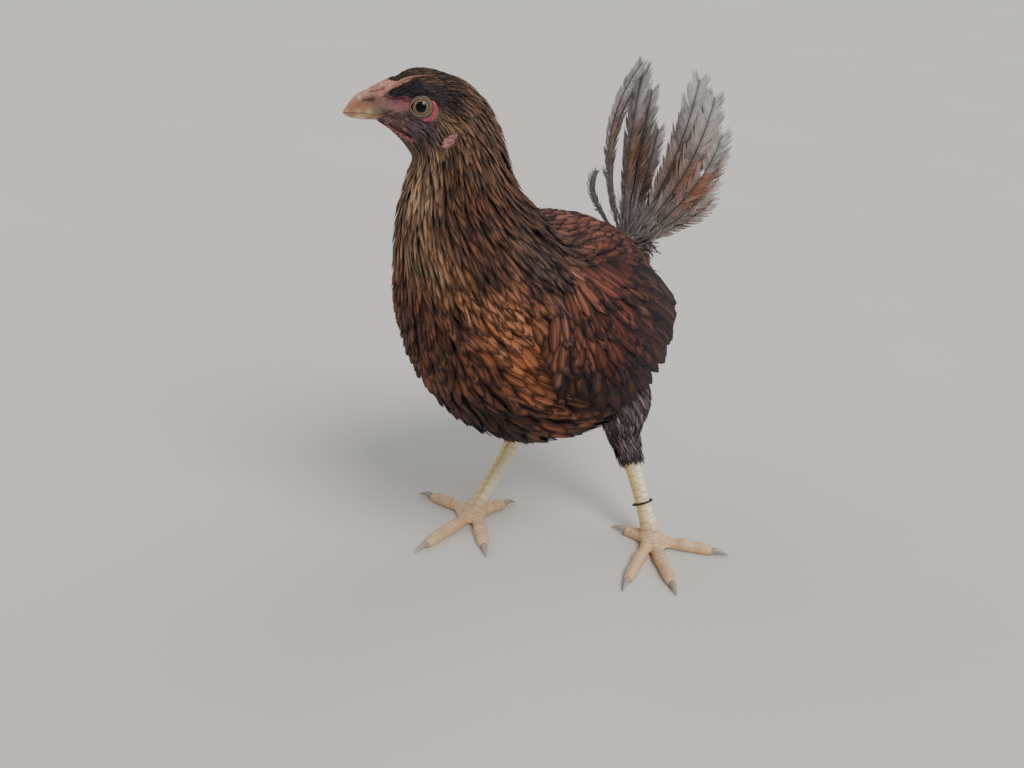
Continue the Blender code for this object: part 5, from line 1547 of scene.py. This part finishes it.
def tail_quills():
    """The quills of both fans, one array for each kind of value.

    Every quill lies a little off the one before, and has a narrower one beside it."""
    quills = {key: [] for key in ("root", "tip", "bow", "half", "facing", "rust", "rust_at")}
    for name, sign in SIDES[::-1]:
        facing = np.array(TAIL_FACING[name])
        for i, (tip, bow, half, amount, where) in enumerate(TAIL_FANS[name]):
            stack = facing * TAIL_STACK * (i + 0.5)
            for k in (0, 1):
                nudge = k * np.array([0.0016 * sign, 0.003, -0.012 if half > 0.005 else 0.0])
                row = (
                    np.array(TAIL_ROOT) + stack + [sign * TAIL_TWIST * i, 0, 0] + shift,
                    np.array(tip) + stack + nudge - facing * 0.0007 * k + shift,
                    (bow * (1 - 0.1 * k), 0.004, 0), half * (0.90 - 0.16 * k),
                    facing, amount * (1 - 0.3 * k), where,
                )
                for key, value in zip(quills, row):
                    quills[key].append(value)
    return {key: np.array(value, float) for key, value in quills.items()}


def along_quills(at):
    """The points of all quills at shares of their length."""
    return bowed(quills["root"], quills["tip"], quills["bow"], at)


quills = tail_quills()
count = len(quills["half"])
at = np.linspace(0.07, 0.955, BARBS) + rng.uniform(-0.004, 0.004, (count, BARBS))
place = along_quills(at)
ahead = unit(along_quills(at + QUILL_STEP) - along_quills(at - QUILL_STEP))
sideways = unit(np.cross(ahead, quills["facing"][:, None]))
upward = np.cross(sideways, ahead)
t = shares(5)[:, None]
spacing = np.linalg.norm(quills["tip"] - quills["root"], axis=-1)[:, None] / BARBS
grey = between(TAIL_GREY, TAIL_PALE, smooth(0.35, 0.9, at)[..., None])
number = np.broadcast_to(np.arange(count)[:, None], at.shape)
bake = np.stack([0.08 + 0.84 * number / count, 0.05 + 0.2 * at], -1)
pieces = []
for sign in (-1, 1):
    wisp = (np.arange(BARBS) + rng.integers(0, WISP, (count, 1))) // WISP
    own = rng.normal(0, 1, (count, BARBS // WISP + 2, 5))
    lean, lift, reach, gone, pull = (np.take_along_axis(own[..., k], wisp, 1) for k in range(5))
    in_wisp = (np.arange(BARBS) - wisp * WISP) / WISP - 0.5
    wide = quills["half"][:, None] * np.interp(at, *QUILL_SHAPE)
    wide = wide * np.exp(0.06 * reach + rng.normal(0, 0.05, at.shape))
    fan = in_wisp * 0.0022 * (0.6 + 0.5 * np.abs(pull)) * np.interp(at, *WISP_FAN)
    long_way = wide * np.interp(at, *BARB_SLOPE) * (1 + 0.08 * lean) - fan
    line = (
        place[:, :, None] + sign * sideways[:, :, None] * (wide[..., None, None] * t**0.85)
        + ahead[:, :, None] * (long_way[..., None, None] * t**1.3)
        + upward[:, :, None] * ((lift * 0.0007 - 0.12 * wide)[..., None, None] * t**2)
    )
    half = spacing * 0.90 * np.exp(rng.normal(0, 0.15, at.shape))
    spotted = 0.5 + 0.5 * (rng.uniform(0, 1, at.shape) > 0.25)
    rust = quills["rust"][:, None] * bell(at - quills["rust_at"][:, None] - 0.04 * lean, 0.17) * spotted
    rust = np.clip(rust * (1.0 if sign > 0 else 0.55), 0, 1)[..., None]
    tone = np.exp(0.10 * pull + rng.normal(0, 0.12, at.shape))[..., None]
    colour = between(grey, TAIL_RUST, rust) * tone
    kept = (gone < 1.9) & (rng.uniform(0, 1, at.shape) > 0.03)
    pieces.append([x[kept] for x in (line, upward, half, colour, bake)])
line, facing, half, colour, bake = (np.concatenate(part) for part in zip(*pieces))
top, normal = ribbons(line, facing[:, None], half, BARB_SHAPE)
colours = {
    "ground": colour, "lace": colour * 0.45, "marks": soft_marks(np.full((len(half), 1), 0.05), 0.0, 0.9),
}
barb_paint = plumage_paint("worn_barbs", 0.9, 30.0, 0.6, TAIL_ALPHA)
vane_mesh("tail_barbs", top, normal, 0.00006, bake, colours, barb_paint, ("tail",))
shaft_paint = skin_paint("dark_shaft", 0.1, 1500.0, 0.1)
shaft_tone = between(*SHAFT_TONES, np.linspace(0, 1, SHAFT_POINTS)[:, None, None])
radii = np.linspace(0.0007, 0.00016, SHAFT_POINTS)
shafts = [
    (tube_grid(shaft, radii, 8, guide=(1.0, 0.2, 0)), {"tone": shaft_tone})
    for shaft in along_quills(np.linspace(-0.04, 0.99, SHAFT_POINTS)[None])
]
ring_mesh("tail_shafts", shafts, shaft_paint, ())

# %% [markdown]
# Down and short coverts hide the quills' roots. They are soft slivers that stand round the tail's
# base, leaning upwards on top and hanging down beneath.

# %% Tail coverts and down
TAIL_DOWN, DOWN_ALPHA, DOWN_THICK = 1500, 0.62, 0.00008
DOWN_TONES = rgb(172, 161, 157), rgb(136, 126, 124)

one_each, three_each = (TAIL_DOWN, 1), (TAIL_DOWN, 3)
angle = rng.uniform(-1.42, 1.42, TAIL_DOWN)
lean = rng.uniform(-0.15, 0.75, TAIL_DOWN)
ahead = unit(np.stack([np.sin(angle), lean, np.cos(angle)], -1))
start = np.array(TAIL_ROOT) + shift + ahead * rng.uniform(-0.020, 0.002, one_each) + [0, 0.002, -0.002]
start = start + rng.normal(0, 0.0030, three_each)
shorter = 1 - 0.62 * smooth(0.5, 1.3, np.abs(angle))[:, None]
end = start + ahead * rng.uniform(0.014, 0.032, one_each) * shorter + rng.normal(0, 0.0022, three_each)
facing = unit(np.stack([np.sin(angle) * 0.5, -np.cos(lean), 0.2 + 0 * angle], -1))
line = bowed(start, end, rng.normal(0, 0.0008, three_each), shares(7)[None])
top, normal = ribbons(line, facing[:, None], rng.uniform(0.0004, 0.0011, TAIL_DOWN), LANCE)
warm = smooth(0.7, 1.0, rng.uniform(0, 1, one_each)) * 0.5
tone = np.exp(rng.normal(0, 0.18, one_each))
colours = {
    "ground": between(DOWN_TONES[0], TAIL_RUST, warm) * tone, "lace": DOWN_TONES[1] * tone,
    "marks": soft_marks(rng.uniform(0.2, 0.4, one_each), 0.0, 1.0),
}
bake = np.stack([0.5 + angle * 0.2, 0.3 + lean * 0.3], -1)
down_paint = plumage_paint("tail_down", 1.0, 26.0, 0.8, DOWN_ALPHA)
vane_mesh("tail_down", top, normal, DOWN_THICK, bake, colours, down_paint)

# %% [markdown]
# The body's end under the tail is soft down. Its tufts start all over the last ring's disc and
# hang outwards and down over one another.

# %% Down at the body's end
END_DOWN = 760
END_TONE = rgb(104, 94, 92)

one_each, three_each = (END_DOWN, 1), (END_DOWN, 3)
angle = rng.uniform(-math.pi, math.pi, END_DOWN)
reach = np.sqrt(rng.uniform(0, 1, END_DOWN))[:, None]
rim_ring = rng.uniform(0.0, 0.55, END_DOWN) * (reach[:, 0] > 0.75) * (np.abs(angle) > 1.0)
middle = trunk(np.zeros(2), np.array([0.0, math.pi])).mean(0)
rim_place = trunk(rim_ring, angle, -0.001)
start = middle + (rim_place - middle) * reach
outward = unit(rim_place - middle + [0, 1e-4, 0])
hang = outward * (0.15 + 0.35 * reach) + np.array([0, 0.16, -0.75]) + rng.normal(0, 0.14, three_each)
end = start + unit(hang) * rng.uniform(0.008, 0.016, one_each)
line = bowed(start, end, rng.normal(0, 0.0006, three_each) + [0, 0.0012, 0], shares(6)[None])
facing = unit(outward * 0.7 + [0, 1.0, 0.1])
top, normal = ribbons(line, facing[:, None], rng.uniform(0.0008, 0.0017, END_DOWN), LANCE)
tone = np.exp(rng.normal(0, 0.28, one_each))
marks = soft_marks(rng.uniform(0.2, 0.5, one_each), 0.0, 1.0)
ground = between(FLUFF_TONES[0], END_TONE, rng.uniform(0, 1, one_each)) * tone
colours = {"ground": ground, "lace": FLUFF_TONES[1] * tone, "marks": marks}
vane_mesh("end_down", top, normal, DOWN_THICK, bake_place(rim_ring, angle), colours, fluff_paint)

# %% [markdown]
# ## Shanks, feet and claws
# A foot is one skin over many bones, so its tubes, pad and webs are first fused: a voxel remesh
# wraps them in one even mesh. Then every point looks for its nearest place on the bones' lines,
# which tells how far along the toe it is and on which side. Scutes are a saw wave along the top of
# each line, small round scales cover the sides, and the soles are left smooth.

# %% Feet
TOE_REACH, TOE_ROOT_RADII = (0.0010, 0.0080, 0.0145), (0.0050, 0.0042)
TOE_RADII = (0.0034, 0.0042, 0.0036, 0.0038, 0.0029)
CLAW_LENGTH, CLAW_RADIUS, CLAW_HIDDEN = 0.0110, 0.0017, 0.0006
CLAW_ARCH, CLAW_TIP_HEIGHT, CLAW_POINT = 0.0012, 0.0009, 0.00022
PAD_SPREAD, PAD_DIP = 0.86, 0.0014
SHANK_RADII, ANKLE_RADII, SHANK_HIDDEN = (0.0056, 0.0047, 0.0045, 0.0050), (0.0050, 0.0060), 0.004
SOLE_DIP, VOXEL = 0.0006, 0.00055
WEBS = ("inner", "middle"), ("middle", "outer")
WEB_ROOT, WEB_EDGE, WEB_HOLLOW, WEB_THICK = 0.004, 0.0195, 0.0075, 0.0011
WEB_ROOT_HEIGHT, WEB_EDGE_HEIGHT = 0.0032, 0.0026
SCUTE_PITCH, SCUTE_HEIGHT, SEAM_DEPTH = (0.0046, 0.0029), (0.00042, 0.00034), 0.00018
ROUND_PITCH, ROUND_HEIGHT, ROUNDS = 0.0021, 0.00016, 9
# The shank's tone is its lit side; the side tone is darker, painted shade on the side away from the light.
LEG_TONES = {
    "shank": rgb(255, 243, 204), "shank_shaded_side": rgb(226, 198, 130), "foot": rgb(222, 184, 142),
    "groove": rgb(112, 78, 52),
}


def along_floor(degrees):
    """A direction on the floor, from its angle off straight ahead: its sine and minus its cosine."""
    turn = math.radians(degrees)
    return np.array([math.sin(turn), -math.cos(turn), 0.0])


def toe_line(foot, degrees, length):
    """The middle line and radii of one toe, from the foot's middle to the claw's base."""
    reach = np.concatenate([TOE_REACH, np.linspace(TOE_REACH[-1] + 0.0003, length - CLAW_LENGTH, 5)[1:]])
    radii = np.concatenate([TOE_ROOT_RADII, TOE_RADII])
    fine = np.linspace(0, len(reach) - 1, 40)
    reach, radii = spline(reach[:, None], fine)[:, 0], spline(radii[:, None], fine)[:, 0]
    path = foot + along_floor(degrees) * reach[:, None] + UP * (radii - SOLE_DIP)[:, None]
    return path, radii


def fused(grids, voxel):
    """One even skin over closed ring grids that overlap: points and faces of a voxel remesh."""
    made = ring_mesh("rough_form", [(grid, {}) for grid in grids], None)
    remesh = made.modifiers.new("fuse", "REMESH")
    remesh.mode, remesh.voxel_size = "VOXEL", voxel
    soften = made.modifiers.new("soften", "SMOOTH")
    soften.factor, soften.iterations = 0.5, 4
    mesh = bpy.data.meshes.new_from_object(made.evaluated_get(bpy.context.evaluated_depsgraph_get()))
    points = read(mesh.vertices, "co", np.float32).reshape(-1, 3).astype(float)
    faces = read(mesh.loops, "vertex_index", np.int32, 1).reshape(-1, 4)
    normals = read(mesh.vertex_normals, "vector", np.float32).reshape(-1, 3).astype(float)
    bpy.data.objects.remove(made)
    return points, faces, normals


def read(items, name, kind, each=3):
    """One property of all items of a mesh, as one long row of numbers."""
    values = np.empty(len(items) * each, kind)
    items.foreach_get(name, values)
    return values


def web_grid(foot, first, second):
    """A thin flap of skin between two toes, hollow at its free edge by half a sine."""
    share = np.linspace(0, 1, 12)[:, None]
    fan = unit(between(along_floor(first), along_floor(second), share))
    reach = WEB_EDGE - WEB_HOLLOW * np.sin(math.pi * share)
    outer = foot + fan * reach + [0, 0, WEB_EDGE_HEIGHT]
    inner = foot + fan * WEB_ROOT + [0, 0, WEB_ROOT_HEIGHT]
    middle, spread = (outer + inner) / 2, (outer - inner) / 2
    turn = np.linspace(0, 2 * math.pi, 16, endpoint=False)[None, :, None]
    return middle[:, None] + spread[:, None] * np.cos(turn) + UP * WEB_THICK * np.sin(turn)


def scale_relief(along, side, kind):
    """Height of the scales, and how deep in a groove: a saw along the front, small rounds beside.

    A round is a cosine along the line times one round it."""
    pitch, height = SCUTE_PITCH[kind], SCUTE_HEIGHT[kind]
    stagger = 0.5 * (side > 0) if kind == 0 else 0.0
    phase = (along / pitch + stagger) % 1.0
    saw = phase**1.6 * (1 - smooth(0.90, 1.0, phase))
    front = smooth(0.15, 0.45, np.cos(side))
    seam = bell(side, 0.10) * (kind == 0)
    rounds = 0.5 + 0.5 * np.cos(2 * math.pi * along / ROUND_PITCH) * np.cos(side * ROUNDS)
    relief = height * saw * front - SEAM_DEPTH * seam * front + ROUND_HEIGHT * rounds * (1 - front)
    at_edge = bell(phase, 0.07) + bell(phase - 1, 0.07)
    groove = front * np.maximum(at_edge, seam * 0.7) + (1 - front) * (1 - rounds) * 0.5
    return relief, groove


def leg_form(side, toes):
    """One leg's bones as (path, radii, kind of scales), and the closed grids that make its flesh."""
    _, foot, sole, down, end, cuff = leg_places(side)
    share = np.linspace(0, 1, 60)[:, None]
    shank = cuff - down * SHANK_HIDDEN + (end - cuff + down * SHANK_HIDDEN) * share
    ankle = end + (sole - end) * np.linspace(-0.05, 0.95, 20)[:, None]
    shank_radii = spline(np.array(SHANK_RADII)[:, None], share[:, 0] * 3)[:, 0]
    bones = [(shank, shank_radii, 0), (ankle, np.linspace(*ANKLE_RADII, 20), 0)]
    grids = [tube_grid(path, radii, 20, down) for path, radii, _ in bones]
    ball, _ = ball_grid(14, 20, 0.1)
    width, height = PAD_RADIUS * PAD_SPREAD, PAD_HEIGHT - PAD_DIP
    grids.append(foot + [0, 0, height] + ball * [width, width, height])
    for degrees, length in toes.values():
        path, radii = toe_line(foot, degrees, length)
        bones.append((path, radii, 1))
        grids.append(tube_grid(path, radii, 20, along_floor(degrees)))
    return bones, grids + [web_grid(foot, toes[first][0], toes[second][0]) for first, second in WEBS]


def on_bones(points, bones, down, front):
    """Each point's way from its nearest bone, the run along it, the angle round it, and its kind.

    Nearest is where the distance less the radius is least. The angle is 0 at the shank's front
    and on a toe's top."""
    places = np.vstack([path for path, _, _ in bones])
    radii = np.concatenate([radii for _, radii, _ in bones])
    kinds = np.concatenate([np.full(len(path), kind) for path, _, kind in bones])
    steps = [np.linalg.norm(np.diff(path, axis=0), axis=1) for path, _, _ in bones]
    lengths = np.concatenate([np.concatenate([[0], np.cumsum(step)]) for step in steps])
    aheads = np.vstack([unit(np.gradient(path, axis=0)) for path, _, _ in bones])
    tops = np.where(kinds[:, None] == 0, front - down * np.dot(front, down), UP)
    tops = unit(tops - aheads * (tops * aheads).sum(-1, keepdims=True))
    near = np.concatenate([
        np.argmin(np.linalg.norm(part[:, None] - places[None], axis=-1) - radii, axis=1)
        for part in np.array_split(points, 40)
    ])
    off, ahead, top = points - places[near], aheads[near], tops[near]
    run = lengths[near] + (off * ahead).sum(-1)
    turn = np.arctan2((off * np.cross(ahead, top)).sum(-1), (off * top).sum(-1))
    return off, run, turn, kinds[near]


def claw_grid(foot, degrees, length):
    """One claw: a cone from inside the toe's end, arched by half a sine and dropped to the floor."""
    ahead, share = along_floor(degrees), np.linspace(0, 1, 28)
    start = foot + ahead * (length - CLAW_LENGTH - CLAW_HIDDEN) + UP * (TOE_RADII[-1] - SOLE_DIP)
    curve = start + ahead * ((CLAW_LENGTH + CLAW_HIDDEN) * share)[:, None]
    curve[:, 2] += CLAW_ARCH * np.sin(math.pi * share) - (start[2] - CLAW_TIP_HEIGHT) * share**2
    return tube_grid(curve, CLAW_RADIUS * 1.1 * (1 - share**1.8) + CLAW_POINT, 20, ahead)

# %% [markdown]
# Each leg is fused into one skin, its scales are raised along the normals, and the part under
# the sole is laid flat on the floor. Every toe then gets a claw of horn that starts inside it.

# %% Legs and claws
leg_paint = skin_paint("scaly_skin", 0.30, 1500.0, 0.35)
claw_paint = Paint("claw_horn")
streaks = claw_paint.noise(700.0, 3.0)
claw_horn = claw_paint.set(
    Base_Color=claw_paint.mix(rgb(120, 104, 92), rgb(196, 184, 168), streaks), Roughness=0.32 + streaks * 0.2,
    Coat_Weight=0.3, Normal=claw_paint.bump(streaks, 0.2, 0.0004),
)
for side, _ in SIDES:
    _, foot, _, down, _, _ = leg_places(side)
    toes = {name: own for name, *own in LEGS[side]["toes"]}
    bones, grids = leg_form(side, toes)
    points, faces, normals = fused(grids, VOXEL)
    off, run, turn, kinds = on_bones(points, bones, down, along_floor(toes["middle"][0]))
    relief, groove = np.zeros(len(points)), np.zeros(len(points))
    for kind in (0, 1):
        chosen = kinds == kind
        relief[chosen], groove[chosen] = scale_relief(run[chosen], turn[chosen], kind)
    points = points + normals * (relief * smooth(0.0004, 0.0018, points[:, 2]))[:, None]
    points[:, 2] = np.maximum(points[:, 2], 0.0)
    is_shank = (kinds == 0)[:, None] * smooth(0.010, 0.020, points[:, 2:3])
    # Painted light and shade: the shank is lighter on its side towards the camera's right, where the key
    # light comes from, and darker on the side away from it.
    outside = smooth(-0.6, 0.4, unit(off) @ view_right)[:, None]
    lit_and_shaded_shank = between(LEG_TONES["shank_shaded_side"], LEG_TONES["shank"], outside)
    tone = between(LEG_TONES["foot"], lit_and_shaded_shank, is_shank)
    tone = between(tone, LEG_TONES["groove"], np.clip(groove, 0, 1)[:, None] * 0.48)
    corners = np.stack([(turn[faces] / (2 * math.pi)) % 1.0, run[faces] * 10 % 1.0], -1)
    names = (f"shank_{side}", f"foot_{side}", *(f"toe_{side}_{name}" for name in toes))
    add_mesh(f"leg_{side}", points, faces, {"wrap": corners}, {"tone": tone}, leg_paint, names)
    for name, (degrees, length) in toes.items():
        claw = claw_grid(foot, degrees, length)
        ring_mesh(f"claw_sheath_{side}_{name}", [(claw, {})], claw_horn, (f"claw_{side}_{name}",))

# %% [markdown]
# ## The leg ring
# Keepers mark a bird with a plain ring of black plastic, a little loose, so it rests at a slant
# above the foot. It is one round wire whose two ends overlap a little.

# %% Leg ring
BAND_SHARE, BAND_RADIUS, BAND_WIRE, BAND_POINTS = 0.81, 0.0061, 0.0007, 120
BAND_ENDS, BAND_RISE = (-math.pi / 2, 1.62 * math.pi), 0.0006

hock, _, _, down, end, _ = leg_places("left")
centre = hock + (end - hock) * BAND_SHARE
side_way = unit(np.cross(down, [1.0, 0, 0]))
front_way = np.cross(side_way, down)
turn = np.linspace(*BAND_ENDS, BAND_POINTS)
band_path = centre + BAND_RADIUS * (np.cos(turn)[:, None] * front_way + np.sin(turn)[:, None] * side_way)
band_path += down * (turn / turn.max() * BAND_RISE)[:, None]
band_paint = Paint("ring_plastic")
scuffs = band_paint.noise(900.0, 3.0)
worn = band_paint.mix(rgb(18, 18, 19), rgb(44, 43, 43), band_paint.step(scuffs, 0.5, 0.8))
band_plastic = band_paint.set(Base_Color=worn, Roughness=0.35 + scuffs * 0.3)
band = tube_grid(band_path, np.full(BAND_POINTS, BAND_WIRE), 12, guide=down)
ring_mesh("leg_ring", [(band, {})], band_plastic, ("leg_band",))
